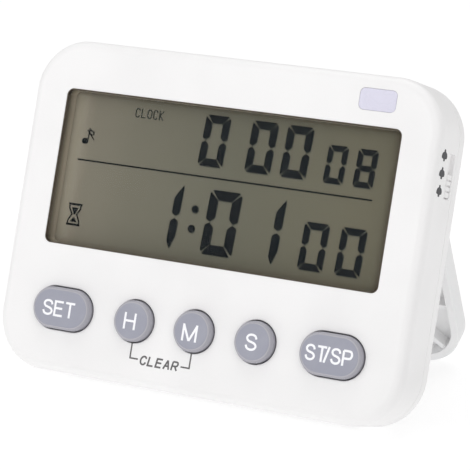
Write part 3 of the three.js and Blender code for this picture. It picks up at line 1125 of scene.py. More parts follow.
# dark brown that also stands in for shade, turning to painted light beside the display
BEZEL_PLASTIC = SmokedFrame("smoked_frame", rgb(84, 75, 65), rgb(178, 169, 152), (0.3, 3.6))
DISPLAY = DisplayGlass(
    "display_polariser",
    (
        # painted light at the pale left end, then the polariser's own grey-green
        (0.0, rgb(196, 188, 171)),
        (0.03, rgb(166, 159, 144)),
        (0.045, rgb(146, 140, 127)),
        (0.065, rgb(134, 129, 116)),
        (0.2, rgb(122, 119, 106)),
        (0.5, rgb(109, 108, 95)),
        (1.0, rgb(114, 110, 93)),
    ),
    41.0,
    # colour of the painted shade at the display's edges
    rgb(76, 66, 55),
)
CLEAR = ClearPlate("clear_window", (0.97, 0.97, 0.96))
LAMP = LampPlastic("milky_lamp_cover", rgb(213, 211, 228), rgb(208, 206, 223))
LED = LampPlastic("red_lamp_resin", rgb(196, 52, 40), rgb(160, 34, 26))
NICKEL = PlatedMetal("nickel_plate", rgb(196, 197, 198), rgb(172, 172, 172), 0.3)
MAGNET_PLATE = PlatedMetal("magnet_nickel", rgb(206, 206, 204), rgb(184, 183, 180), 0.2)
BRASS = PlatedMetal("brass_disc", rgb(214, 180, 104), rgb(190, 152, 82), 0.35)
BOARD = BoardMask("green_board", rgb(22, 92, 58), rgb(70, 130, 78))
RESIN = MattRubber("black_resin", rgb(26, 27, 29), rgb(48, 48, 50), 0.5)
SILICONE = MattRubber("grey_silicone", rgb(176, 178, 184), rgb(190, 191, 195), 0.7)
RUBBER = MattRubber("black_strip_rubber", rgb(38, 39, 42), rgb(62, 62, 64), 0.8)
RED_WIRE = MattRubber("red_wire_jacket", rgb(176, 36, 28), rgb(190, 62, 50), 0.45)
BLACK_WIRE = MattRubber("black_wire_jacket", rgb(26, 26, 28), rgb(44, 44, 46), 0.45)


# ------------------------------------------------------------------ workshop
@dataclass
class Workshop:
    """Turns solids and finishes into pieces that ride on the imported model.

    Attributes:
        case: the case's axes.
        nodes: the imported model's nodes.
        made: finished materials by name.
    """

    case: CaseFrame
    nodes: dict[str, bpy.types.Object]
    made: dict[str, bpy.types.Material] = field(default_factory=dict)

    def material(self, finish: Finish) -> bpy.types.Material:
        """The finish's material, built once.

        Args:
            finish: the finish.

        Returns:
            Its material.
        """
        if finish.name not in self.made:
            needs_axes = isinstance(finish, PlacedFinish)
            self.made[finish.name] = finish.build(self.case) if needs_axes else finish.build()
        return self.made[finish.name]

    def piece(
        self,
        name: str,
        solid: Solid,
        finish: Finish,
        body: Body,
        slot: str,
        *stands_for: str,
    ) -> bpy.types.Object:
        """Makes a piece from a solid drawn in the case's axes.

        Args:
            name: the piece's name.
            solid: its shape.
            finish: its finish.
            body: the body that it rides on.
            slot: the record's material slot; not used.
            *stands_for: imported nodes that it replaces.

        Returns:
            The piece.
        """
        mesh = solid.mesh.copy()
        mesh.name = name
        mesh.transform(self.case.matrix)
        self._shade(mesh)
        mesh.materials.clear()
        mesh.materials.append(self.material(finish))
        piece = bpy.data.objects.new(name, mesh)
        bpy.context.scene.collection.objects.link(piece)
        normals = piece.modifiers.new("even_faces", "WEIGHTED_NORMAL")
        normals.keep_sharp = True
        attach(piece, body.value)
        if stands_for:
            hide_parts(*stands_for)
        LOG.info("%s: %d faces", name, len(mesh.polygons))
        return piece

    @staticmethod
    def _shade(mesh: bpy.types.Mesh, limit_deg: float = 32.0) -> None:
        """Shades a mesh smooth between its sharp edges.

        Args:
            mesh: the mesh.
            limit_deg: edges steeper than this stay sharp.
        """
        shape = bmesh.new()
        shape.from_mesh(mesh)
        for face in shape.faces:
            face.smooth = True
        limit = math.radians(limit_deg)
        for edge in shape.edges:
            edge.smooth = len(edge.link_faces) == 2 and edge.calc_face_angle(math.pi) < limit
        shape.to_mesh(mesh)
        shape.free()

    def dress(self, finish: Finish, slot: str, *names: str) -> None:
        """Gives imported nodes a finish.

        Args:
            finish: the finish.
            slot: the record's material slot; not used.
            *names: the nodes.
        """
        for name in names:
            node = self.nodes[name]
            node.data.materials.clear()
            node.data.materials.append(self.material(finish))
            LOG.info("%s: dressed", name)


# ------------------------------------------------------------------ places on the case
CASE_OUTLINE = Outline(0.0, 37.6, 50.0, 37.6, 12.1, 20)
WINDOW = Outline(0.0, 46.375, 41.16, 17.625, 1.6, 8)
LENS = Outline(34.46, 69.6, 4.12, 2.19, 1.0, 8)
# each case screw: its centre, the depth that its head sits at, and the depth that its post ends at
SCREW_PLACES = {
    "case_screw_top_left": (-43.6, 68.6, 13.2, 9.4),
    "case_screw_top_right": (43.6, 68.6, 13.2, 9.4),
    "case_screw_bottom_left": (-30.0, 5.2, 9.8, 8.3),
    "case_screw_bottom_right": (30.0, 5.2, 9.8, 8.3),
}
# each board screw: its centre
BOARD_SCREW_PLACES = {
    "board_screw_top_left": (-23.0, 70.4),
    "board_screw_top_right": (18.0, 70.4),
    "board_screw_bottom_left": (-23.0, 22.9),
    "board_screw_bottom_right": (23.0, 22.9),
}


@dataclass(frozen=True)
class Key:
    """One push button.

    Attributes:
        node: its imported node.
        body: the body that it rides on.
        x: its centre across.
        half_x: half width.
        half_z: half height.
        legend: what is printed on it.
        legend_x: centre of the legend.
        legend_width: width of the legend.
        legend_height: height of its letters.
        legend_drop: how far it sits below the key's middle.
    """

    node: str
    body: Body
    x: float
    half_x: float
    half_z: float
    legend: str
    legend_x: float
    legend_width: float
    legend_height: float = 3.75
    legend_drop: float = 0.1

    def outline(self) -> Outline:
        """Outline of the cap."""
        return Outline(self.x, KEY_ROW, self.half_x, self.half_z, self.half_z, 16)


KEYS = (
    Key("button_set", Body.SET, -33.27, 7.28, 4.69, "SET", -33.6, 8.35, 3.6),
    Key("button_hour", Body.HOUR, -14.98, 4.6, 4.6, "H", -15.3, 3.0),
    Key("button_minute", Body.MINUTE, 0.0, 4.6, 4.6, "M", -0.25, 3.7, 3.75, 0.42),
    Key("button_second", Body.SECOND, 14.98, 4.6, 4.6, "S", 14.75, 2.95),
    Key("button_start_stop", Body.START_STOP, 33.27, 7.28, 4.69, "ST/SP", 33.15, 11.15, 3.55, 0.0),
)


# ------------------------------------------------------------------ case
@dataclass
class FrontCase:
    """Front half of the case with its openings.

    Attributes:
        edge: radius of the front edge.
        recess: depth of the switch's finger recess.
        recess_place: low and high corners of the recess in Y and Z.
        slot_place: low and high corners of the slot in Y and Z.
    """

    edge: float = 2.3
    recess: float = 1.0
    recess_place: tuple[Point2, Point2] = ((7.1, 51.0), (10.3, 60.7))
    slot_place: tuple[Point2, Point2] = ((8.0, 52.0), (9.4, 59.0))

    def build(self, shop: Workshop) -> None:
        """Builds and dresses the shell.

        Args:
            shop: where pieces are made.
        """
        back = SEAM - SEAM_LINE / 2
        outside = Solid.soft_slab(
            lambda grow: CASE_OUTLINE.ring(grow - TUCK), FACE, back, self.edge, 0.06, 8
        )
        inside = Solid.slab(CASE_OUTLINE.ring(-WALL), WALL, back + 1)
        bosses = [
            Solid.slab(circle(x, z, 2.6).ring(), WALL - 0.2, end) for x, z, _, end in SCREW_PLACES.values()
        ]
        posts = [
            Solid.slab(circle(x, z, 2.0).ring(), WALL - 0.2, 7.7) for x, z in BOARD_SCREW_PLACES.values()
        ]
        holes = [
            Solid.slab(circle(x, z, 1.4, 8).ring(), 3.8, end + 1) for x, z, _, end in SCREW_PLACES.values()
        ]
        holes += [
            Solid.slab(circle(x, z, 1.15, 8).ring(), 4.0, 8.5) for x, z in BOARD_SCREW_PLACES.values()
        ]
        shell = outside.cut(inside).add(*bosses, *posts)
        shell = shell.cut(*self._front_openings(), *holes, *self._side_openings())
        shop.piece("case_front", shell, WHITE_CASE, Body.CASE, "white_plastic", "front_shell")

    @staticmethod
    def _front_openings() -> list[Solid]:
        """Openings for the window, the keys and the lamp.

        Returns:
            The solids to cut out.
        """
        end = WALL + 1
        keys = [
            Solid.opening(lambda grow, key=key: key.outline().ring(grow + KEY_PLAY), FACE, end, 0.22)
            for key in KEYS
        ]
        window = Solid.opening(WINDOW.ring, FACE, end, 0.14)
        lens = Solid.opening(lambda grow: LENS.ring(grow + 0.2), FACE, end, 0.1)
        return [window, lens, *keys]

    def _side_openings(self) -> list[Solid]:
        """Finger recess and slot of the slide switch.

        Returns:
            The solids to cut out.
        """
        solids = []
        for (low, high), start, flare in (
            (self.recess_place, CASE_OUTLINE.half_x - self.recess, 0.18),
            (self.slot_place, CASE_OUTLINE.half_x - WALL - 1, 0.0),
        ):
            middle = ((low[0] + high[0]) / 2, (low[1] + high[1]) / 2)
            place = Outline(*middle, (high[0] - low[0]) / 2, (high[1] - low[1]) / 2, 0.5, 5)
            face = CASE_OUTLINE.half_x - TUCK
            rows = [(0.0, start), (0.0, face - flare), (flare * 0.35, face - flare * 0.35)]
            rows += [(flare, face), (flare, face + 1)]
            if not flare:
                rows = [(0.0, start), (0.0, face + 1)]
            solids.append(Solid.from_rings([[(x, y, z) for y, z in place.ring(g)] for g, x in rows]))
        return solids


def stand_outline(grow: float = 0.0) -> list[Point2]:
    """U-shaped outline of the folded stand about its pivot.

    Args:
        grow: distance outwards.

    Returns:
        The outline.
    """
    outer, inner = STAND_SIDE + grow, 31.0 - grow
    corner, inner_corner = 12.0 + grow, 3.2 - grow
    top, bottom, bar_top = 1.3 + grow, -STAND_LENGTH - grow, -STAND_BAR + grow

    def arc(x: float, z: float, radius: float, start: float, end: float, steps: int) -> list[Point2]:
        """Points of an arc between two angles in degrees."""
        angles = [math.radians(start + (end - start) * step / steps) for step in range(steps + 1)]
        return [(x + radius * math.cos(a), z + radius * math.sin(a)) for a in angles]

    points = [(-outer, top)]
    points += arc(-outer + corner, bottom + corner, corner, 180, 270, 16)
    points += arc(outer - corner, bottom + corner, corner, 270, 360, 16)
    points += [(outer, top), (inner, top)]
    points += arc(inner - inner_corner, bar_top + inner_corner, inner_corner, 0, -90, 8)
    points += arc(-inner + inner_corner, bar_top + inner_corner, inner_corner, -90, -180, 8)
    points.append((-inner, top))
    return points


def raised(points: Sequence[Point2], rise: float) -> list[Point2]:
    """The points moved up."""
    return [(x, z + rise) for x, z in points]


def sixths() -> list[float]:
    """Six even angles round a circle."""
    return [math.radians(60 * step) for step in range(6)]


@dataclass
class RearCase:
    """Back half of the case, sunk in a U for the folded stand.

    Attributes:
        edge: radius of the back edge.
        floor: depth of the stand's recess.
        lining: thickness of the recess's wall.
    """

    edge: float = 2.8
    floor: float = 11.7
    lining: float = 1.3

    def build(self, shop: Workshop) -> None:
        """Builds and dresses the shell.

        Args:
            shop: where pieces are made.
        """
        front = SEAM + SEAM_LINE / 2
        outside = Solid.soft_slab(
            lambda grow: CASE_OUTLINE.ring(grow - TUCK), front, DEPTH, 0.06, self.edge, 8
        )
        inside = Solid.slab(CASE_OUTLINE.ring(-WALL), SEAM - 1, DEPTH - 1.4)
        lining = raised(stand_outline(STAND_PLAY + self.lining), PIVOT.z)
        sunk = Solid.slab(lining, self.floor - self.lining, DEPTH - 1)
        sunk = sunk.add(*self._bosses())
        room = Solid.slab(CASE_OUTLINE.ring(-WALL - GAP), 0.0, SEAM + GAP).add(
            Solid.slab(CASE_OUTLINE.ring(-WALL / 2), SEAM + GAP / 2, DEPTH - 1)
        )
        shell = outside.cut(inside).add(sunk.common(room)).add(*self._walls()).cut(*self._openings())
        shop.piece("case_back", shell, WHITE_CASE, Body.CASE, "white_plastic", "rear_shell")

    @staticmethod
    def _bosses() -> list[Solid]:
        """Screw bosses.

        Returns:
            The solids to join on.
        """
        return [
            Solid.slab(circle(x, z, 3.4).ring(), end + GAP, max(seat + 1, 11.2))
            for x, z, seat, end in SCREW_PLACES.values()
        ]

    @staticmethod
    def _walls() -> list[Solid]:
        """Battery bay, sounder wall, magnet cups and hinge blocks.

        Returns:
            The solids to join on.
        """
        solids = []
        for (x, z), outer, inner, start in (((0.0, BAY_Z), 15.3, 14.3, 9.9), (SOUNDER, 7.2, 6.4, 12.4)):
            core = Solid.slab(circle(x, z, inner).ring(), 0.0, DEPTH)
            solids.append(Solid.slab(circle(x, z, outer).ring(), start, DEPTH - 1).cut(core))
        for side in (-1, 1):
            solids.append(Solid.slab(circle(MAGNET_X * side, MAGNET_Z, 6.3).ring(), 11.8, DEPTH - 1))
            near, far = sorted((STAND_SIDE * side, 48.4 * side))
            solids.append(Solid.box((near, 12.2, PIVOT.z - 3.2), (far, DEPTH - 1, PIVOT.z + 3.2)))
        return solids

    def _openings(self) -> list[Solid]:
        """Everything cut out of the back.

        Returns:
            The solids to cut out.
        """

        def recess(grow: float) -> list[Point2]:
            """Outline of the stand's recess."""
            return raised(stand_outline(STAND_PLAY + grow), PIVOT.z)

        below = Solid.box((-WHOLE, 0.0, -2.0), (WHOLE, DEPTH + 6, 2.0))
        solids = [Solid.opening(recess, DEPTH, self.floor, 0.25)]
        solids.append(Solid.slab(recess(0.0), SEAM - 1, DEPTH + 5).common(below))
        solids.append(Solid.opening(circle(0.0, BAY_Z, 12.5, 24).ring, DEPTH, DEPTH - 2, 0.2))
        solids += door_lugs(13.9, 0.28, DEPTH - 2, DEPTH + 1, math.radians(60))
        for x, z, seat, _ in SCREW_PLACES.values():
            solids.append(Solid.slab(circle(x, z, 2.4).ring(), seat, DEPTH + 1))
            solids.append(Solid.slab(circle(x, z, 1.4, 8).ring(), 0.0, DEPTH))
        for side in (-1, 1):
            cup = circle(MAGNET_X * side, MAGNET_Z, 5.3)
            solids.append(Solid.opening(cup.ring, DEPTH, DEPTH - 3.5, 0.2))
            near, far = sorted((STAND_SIDE * side, 46.8 * side))
            pin = circle(PIVOT.y, PIVOT.z, 1.3, 8).ring()
            solids.append(Solid.bar(pin, near, far))
            mouth = ((near, PIVOT.y, PIVOT.z - 0.8), (far, DEPTH + 1, PIVOT.z + 0.8))
            solids.append(Solid.box(*mouth))
        return solids + self._sound_holes()

    @staticmethod
    def _sound_holes() -> list[Solid]:
        """One sound hole and six round it.

        Returns:
            The solids to cut out.
        """
        places = [(0.0, 0.0)]
        places += [(3.0 * math.cos(turn), 3.0 * math.sin(turn)) for turn in sixths()]
        holes = [circle(SOUNDER[0] + across, SOUNDER[1] + up, 0.7, 5) for across, up in places]
        return [Solid.opening(hole.ring, DEPTH, DEPTH - 2, 0.12) for hole in holes]


def door_lugs(radius: float, half_angle: float, front: float, back: float, turned: float) -> list[Solid]:
    """Three wedge lugs about the battery door's axis.

    Args:
        radius: outer radius.
        half_angle: half of each lug's angle.
        front: front depth.
        back: back depth.
        turned: angle that they are turned on by.

    Returns:
        The lugs.
    """
    root = 11.2
    lugs = []
    for third in range(3):
        middle = 2 * math.pi * third / 3 + math.pi / 2 + turned
        angles = [middle + half_angle * (step / 4 - 1) for step in range(9)]
        outer = [(radius * math.cos(a), BAY_Z + radius * math.sin(a)) for a in angles]
        inner = [(root * math.cos(a), BAY_Z + root * math.sin(a)) for a in reversed(angles)]
        lugs.append(Solid.slab(outer + inner, front, back))
    return lugs


# ------------------------------------------------------------------ display
@dataclass
class DisplayStack:
    """Clear window, smoked frame and display glass.

    Attributes:
        lap: thickness of the frame's collar, which lines the window's opening.
        frame_front: front depth of the frame.
        frame_depth: its depth.
    """

    lap: float = 0.2
    frame_front: float = 2.1
    frame_depth: float = 2.1

    def build(self, shop: Workshop) -> None:
        """Builds the window and the frame and dresses the glass.

        Args:
            shop: where pieces are made.
        """
        plate = Solid.soft_slab(lambda grow: WINDOW.ring(grow - self.lap), 0.12, 1.5, 0.08, 0.0, 3)
        shop.piece("window_plate", plate, CLEAR, Body.CASE, "clear_window", "display_window")
        rim = Outline(WINDOW.x, WINDOW.z, WINDOW.half_x + 2.2, WINDOW.half_z + 2.2, 3.0, 8)
        end = self.frame_front + self.frame_depth
        collar = Solid.slab(WINDOW.ring(-0.02), 0.1, self.frame_front + 0.1)
        hole = Solid.slab(WINDOW.ring(-self.lap), -1.0, end + 1)
        surround = Solid.slab(rim.ring(), self.frame_front, end).add(collar).cut(hole)
        shop.piece("window_frame", surround, BEZEL_PLASTIC, Body.CASE, "dark_bezel", "lcd_bezel")
        shop.dress(DISPLAY, "lcd_glass", "lcd_panel")


class Segment(Enum):
    """The seven segments of a digit."""

    TOP = "a"
    UPPER_RIGHT = "b"
    LOWER_RIGHT = "c"
    BOTTOM = "d"
    LOWER_LEFT = "e"
    UPPER_LEFT = "f"
    MIDDLE = "g"


DIGITS = {"0": "abcdef", "8": "abcdefg"}  # a one has its own two strokes


@dataclass(frozen=True)
class Digit:
    """One seven-segment digit.

    Attributes:
        shown: the number shown.
        left: left end of its foot.
        foot: height of its foot.
        width: its width.
        height: its height.
        stroke: thickness of a segment.
        slant: how far its top leans to the right.
        crack: light gap between segments.
    """

    shown: str
    left: float
    foot: float
    width: float
    height: float
    stroke: float
    slant: float = 0.5
    crack: float = 0.07

    def shapes(self) -> list[list[Point2]]:
        """Outlines of the lit segments.

        Returns:
            The outlines.
        """
        if self.shown == "1":
            outlines = self._leaves()
        else:
            outlines = [self._segment(Segment(letter)) for letter in DIGITS[self.shown]]
        return [[self._leaned(point) for point in outline] for outline in outlines]

    def _leaves(self) -> list[list[Point2]]:
        """The two tapering strokes of a one.

        Returns:
            The outlines.
        """
        t, middle = self.stroke, self.height / 2
        right, left = self.width, self.width - t * 0.88
        upper = [
            (right - t * 0.06, self.height),
            (right, self.height - t * 0.3),
            (right, middle + t * 0.42),
            (right - t * 0.42, middle + t * 0.1),
            (left, middle + t * 0.42),
            (left, self.height - t * 1.3),
            (left + t * 0.35, self.height - t * 0.75),
        ]
        lower = [
            (right, middle - t * 0.42),
            (right, t * 1.35),
            (right - t * 0.2, t * 0.75),
            (left + t * 0.42, 0.0),
            (left, t * 0.75),
            (left, middle - t * 0.42),
            (left + t * 0.46, middle - t * 0.1),
        ]
        return [upper, lower]

    def _leaned(self, point: Point2) -> Point2:
        """A point of the upright digit, leaned and put in its place."""
        x, z = point
        return self.left + x + self.slant * z / self.height, self.foot + z

    def _segment(self, segment: Segment) -> list[Point2]:
        """Outline of one segment of the upright digit.

        Args:
            segment: which one.

        Returns:
            The outline.
        """
        w, h, t, c = self.width, self.height, self.stroke, self.crack
        middle, blunt = h / 2, self.stroke * 0.22
        if segment is Segment.MIDDLE:
            half = t / 2
            return [
                (half + c, middle),
                (t + c, middle + half),
                (w - t - c, middle + half),
                (w - half - c, middle),
                (w - t - c, middle - half),
                (t + c, middle - half),
            ]
        if segment in (Segment.TOP, Segment.BOTTOM):
            outline = [
                (blunt + c, h - blunt * 0.35),
                (blunt + c + blunt * 0.5, h),
                (w - blunt * 1.5 - c, h),
                (w - blunt - c, h - blunt * 0.35),
                (w - t - c * 0.7, h - t),
                (t + c * 0.7, h - t),
            ]
            return outline if segment is Segment.TOP else [(x, h - z) for x, z in outline]
        outline = [
            (0.0, h - blunt * 1.6 - c),
            (blunt * 0.5, h - blunt - c),
            (t, h - t - c * 0.7),
            (t, middle + t * 0.5 + c),
            (t * 0.5, middle + c * 0.9),
            (0.0, middle + t * 0.3 + c),
        ]
        if segment in (Segment.UPPER_RIGHT, Segment.LOWER_RIGHT):
            outline = [(w - x, z) for x, z in outline]
        if segment in (Segment.LOWER_LEFT, Segment.LOWER_RIGHT):
            outline = [(x, h - z) for x, z in outline]
        return outline


UPPER_DIGITS = (
    Digit("0", -8.0, 50.8, 6.15, 11.5, 1.78),
    Digit("0", 3.6, 50.8, 6.3, 11.5, 1.78),
    Digit("0", 12.2, 50.8, 6.3, 11.5, 1.78),
    Digit("0", 22.65, 50.8, 4.7, 8.35, 1.28, 0.36),
    Digit("8", 29.7, 50.8, 4.7, 8.35, 1.28, 0.36),
)
LOWER_DIGITS = (
    Digit("1", -18.4, 31.5, 7.6, 14.4, 2.25, 0.6),
    Digit("0", -4.15, 31.5, 7.9, 14.4, 2.25, 0.6),
    Digit("1", 6.6, 31.5, 7.9, 14.4, 2.25, 0.6),
    Digit("0", 19.8, 31.45, 5.95, 10.5, 1.55, 0.4),
    Digit("0", 28.65, 31.45, 5.95, 10.5, 1.55, 0.4),
)


@dataclass
class DisplayImage:
    """What the display shows: two rows of digits, the divider and the small symbols.

    Attributes:
        front: depth of the image's front face.
        thickness: its thickness.
        shadow: how far the soft shadow falls to the right and down.
    """

    front: float = 4.42
    thickness: float = 0.05
    shadow: Point2 = (0.2, -0.24)

    def build(self, shop: Workshop) -> None:
        """Builds the image and its shadow.

        Args:
            shop: where pieces are made.
        """
        groups = {
            "display_upper_digits": [shape for digit in UPPER_DIGITS for shape in digit.shapes()],
            "display_lower_digits": [shape for digit in LOWER_DIGITS for shape in digit.shapes()]
            + [circle(-6.76, 41.0, 0.88, 6).ring(), circle(-6.97, 36.6, 0.88, 6).ring()],
            "display_divider": [ribbon([(-38.4, 48.4), (34.9, 48.4)], 0.36)],
            "display_clock_word": self._clock_word(),
            "display_hourglass": self._hourglass(),
            "display_silent_note": self._silent_note(),
        }
        back = self.front + self.thickness
        for name, shapes in groups.items():
            solid = Solid.fused([Solid.slab(shape, self.front, back) for shape in shapes])
            ink = FINE_SEGMENT_INK if name == "display_clock_word" else SEGMENT_INK
            shop.piece(name, solid, ink, Body.CASE, "lcd_glass")
        across, up = self.shadow
        cast = [
            Solid.slab([(x + across, z + up) for x, z in shape], back + 0.005, back + 0.02)
            for name in ("display_upper_digits", "display_lower_digits")
            for shape in groups[name]
        ]
        shop.piece("display_soft_shadow", Solid.gather(cast), SEGMENT_SHADOW, Body.CASE, "lcd_glass")

    @staticmethod
    def _clock_word() -> list[list[Point2]]:
        """The word over the upper row.

        Returns:
            The outlines.
        """
        strokes = []
        for place, letter in enumerate("CLOCK"):
            left = -25.4 + 1.52 * place
            strokes += letter_strokes(letter, left, 59.55, 1.24, 2.15, 0.25, paths=DISPLAY_LETTER_PATHS)
        return strokes

    @staticmethod
    def _hourglass() -> list[list[Point2]]:
        """Hourglass: end bars, waisted glass and the sand in both halves.

        Returns:
            The outlines.
        """
        x, low, high = -37.0, 33.3, 38.35
        middle = (low + high) / 2
        shapes = [
            ribbon([(x - 1.75, low + 0.22), (x + 1.75, low + 0.22)], 0.5),
            ribbon([(x - 1.75, high - 0.22), (x + 1.75, high - 0.22)], 0.5),
        ]
        for side in (-1, 1):
            glass = [(1.45, high - 0.5), (1.4, high - 1.2), (0.62, middle)]
            glass += [(1.4, low + 1.2), (1.45, low + 0.5)]
            shapes.append(ribbon([(x + side * out, z) for out, z in glass], 0.34))
        sand = ((0.85, high - 0.95, 0.18, middle), (0.9, low + 0.8, 0.14, middle - 0.7))
        for wide, start, narrow, end in sand:
            shapes.append([(x - wide, start), (x + wide, start), (x + narrow, end), (x - narrow, end)])
        return shapes

    @staticmethod
    def _silent_note() -> list[list[Point2]]:
        """Note with a flag, struck through.

        Returns:
            The outlines.
        """
        head = Outline(-37.2, 52.75, 0.85, 0.66, 0.66, 6).ring()
        stem = ribbon([(-36.55, 52.8), (-36.35, 55.75)], 0.3)
        flag = ribbon([(-36.4, 55.6), (-35.9, 55.15), (-35.25, 54.95), (-35.2, 54.2)], 0.32)
        second_flag = ribbon([(-36.5, 54.9), (-35.95, 54.4), (-35.5, 54.2)], 0.26)
        strike = ribbon([(-36.95, 55.3), (-34.95, 53.2)], 0.24)
        return [head, stem, flag, second_flag, strike]


# ------------------------------------------------------------------ lettering
# each letter: its strokes in a unit square, each with whether it is a smooth curve
BOWL = [(0.0, 1.0), (0.6, 1.0), (0.86, 0.95), (0.98, 0.74), (0.86, 0.53), (0.6, 0.47), (0.0, 0.47)]
LETTER_PATHS: Alphabet = {
    "A": [
        (False, [(0, -0.07), (0.5, 1.04)]),
        (False, [(1, -0.07), (0.5, 1.04)]),
        (False, [(0.18, 0.33), (0.82, 0.33)]),
    ],
    "C": [
        (
            True,
            [(0.97, 0.74), (0.8, 0.94), (0.5, 1.0), (0.16, 0.86), (0.0, 0.5), (0.16, 0.14)]
            + [(0.5, 0.0), (0.8, 0.06), (1.0, 0.3)],
        )
    ],
    "E": [
        (False, [(1, 1), (0, 1), (0, 0), (1, 0)]),
        (False, [(0, 0.52), (0.92, 0.52)]),
    ],
    "H": [
        (False, [(0, -0.07), (0, 1.07)]),
        (False, [(1, -0.07), (1, 1.07)]),
        (False, [(0, 0.52), (1, 0.52)]),
    ],
    "L": [(False, [(0, 1.07), (0, 0), (1, 0)])],
    "M": [
        (False, [(0, -0.08), (0, 1.08)]),
        (False, [(1, -0.08), (1, 1.08)]),
        (False, [(0, 1.02), (0.5, -0.04)]),
        (False, [(1, 1.02), (0.5, -0.04)]),
    ],
    "P": [(False, [(0, -0.07), (0, 1.0)]), (True, BOWL)],
    "R": [(False, [(0, -0.07), (0, 1.0)]), (True, BOWL), (False, [(0.5, 0.47), (1, -0.05)])],
    "S": [
        (
            True,
            [(0.96, 0.73), (0.82, 0.93), (0.5, 1.0), (0.17, 0.93), (0.05, 0.75), (0.2, 0.58)]
            + [(0.5, 0.51), (0.82, 0.43), (0.98, 0.26), (0.84, 0.07), (0.5, 0.0), (0.16, 0.07), (0.0, 0.28)],
        )
    ],
    "T": [(False, [(-0.05, 1), (1.05, 1)]), (False, [(0.5, -0.07), (0.5, 1)])],
    "/": [(False, [(0, -0.07), (1, 1.07)])],
}
DISPLAY_LETTER_PATHS: Alphabet = {
    "C": [(False, [(1, 0.78), (0.72, 1), (0.28, 1), (0, 0.8), (0, 0.2), (0.28, 0), (0.72, 0), (1, 0.22)])],
    "L": [(False, [(0, 1.07), (0, 0), (1, 0)])],
    "O": [
        (False, [(0, 0.2), (0, 0.8), (0.28, 1), (0.72, 1)]),
        (False, [(1, 0.8), (1, 0.2), (0.72, 0), (0.28, 0)]),
        (False, [(0.68, 1), (1, 0.77)]),
        (False, [(0.32, 0), (0, 0.23)]),
    ],
    "K": [
        (False, [(0, -0.07), (0, 1.07)]),
        (False, [(1, 1.05), (0.05, 0.5)]),
        (False, [(0.05, 0.5), (1, -0.05)]),
    ],
}


def letter_strokes(
    letter: str,
    left: float,
    foot: float,
    width: float,
    height: float,
    stroke: float,
    lean: float = 0.0,
    paths: Alphabet = LETTER_PATHS,
) -> list[list[Point2]]:
    """Outlines of a letter's strokes.

    Args:
        letter: a capital or a slash.
        left: left end of the letter.
        foot: height of its foot.
        width: its width.
        height: its height.
        stroke: width of its strokes.
        lean: how far its top leans to the right.
        paths: the letters to choose from.

    Returns:
        The outlines.
    """
    outlines = []
    inner_width, inner_height = width - stroke, height - stroke
    for smooth, path in paths[letter]:
        bent = curve_through(path, 4) if smooth else path
        start, low = left + stroke / 2, foot + stroke / 2
        placed = [(start + u * inner_width + lean * v, low + v * inner_height) for u, v in bent]
        outlines.append(ribbon(placed, stroke))
    return outlines


# widths of the letters on the keys, against each other
WIDTH_SHARES = {"S": 0.7, "E": 0.65, "T": 0.68, "/": 0.4, "P": 0.7, "H": 0.7, "M": 0.86}


@dataclass
class Keypad:
    """Five push buttons and their legends.

    Attributes:
        stroke: width of the letters' strokes.
        space: space between letters.
        tuck: how far a slash tucks under the letter before it.
    """

    stroke: float = 0.5
    space: float = 0.2
    tuck: float = 0.95

    def build(self, shop: Workshop) -> None:
        """Builds and dresses the keys.

        Args:
            shop: where pieces are made.
        """
        for key in KEYS:
            outline = key.outline()
            cap = self._cap(outline)
            flange = Solid.slab(outline.ring(0.85), 2.1, 2.9)
            stem = Solid.slab(circle(key.x, KEY_ROW, 2.4).ring(), 2.1, 3.9)
            solid = cap.add(flange, stem)
            shop.piece(f"{key.node}_cap", solid, GREY_KEYS, key.body, "grey_button", key.node)
            legend = Solid.fused(self._legend(key))
            shop.piece(f"{key.node}_legend", legend, WHITE_INK, key.body, "grey_button")
        shop.dress(SILICONE, "grey_silicone", "keypad_mat")

    @staticmethod
    def _cap(outline: Outline) -> Solid:
        """Cap with a sloping edge that is rounded where it meets the face and the side.

        Args:
            outline: the cap's outline.

        Returns:
            The cap.
        """
        slope = ((0.0, 1.0), (0.03, 0.62), (0.12, 0.42), (0.5, 0.12), (0.68, 0.03), (0.86, 0.0))
        rows = [(0.0, 3.3)] + [(-inset, KEY_FACE + down) for inset, down in slope]
        return Solid.from_rings([[(x, y, z) for x, z in outline.ring(grow)] for grow, y in rows])

    def _legend(self, key: Key) -> list[Solid]:
        """Strokes of a key's legend.

        Args:
            key: the key.

        Returns:
            One thin solid per stroke.
        """
        shares = [WIDTH_SHARES[letter] for letter in key.legend]
        spaces = self.space * (len(shares) - 1) - self.tuck * key.legend.count("/")
        unit = (key.legend_width - spaces) / sum(shares)
        left = key.legend_x - key.legend_width / 2
        foot = KEY_ROW - key.legend_drop - key.legend_height / 2
        solids = []
        for letter, share in zip(key.legend, shares):
            width = unit * share
            if letter == "/":
                left -= self.tuck
            for outline in letter_strokes(letter, left, foot, width, key.legend_height, self.stroke):
                solids.append(Solid.slab(outline, KEY_FACE - PRINT, KEY_FACE + PRINT_ROOT))
            left += width + self.space
        return solids


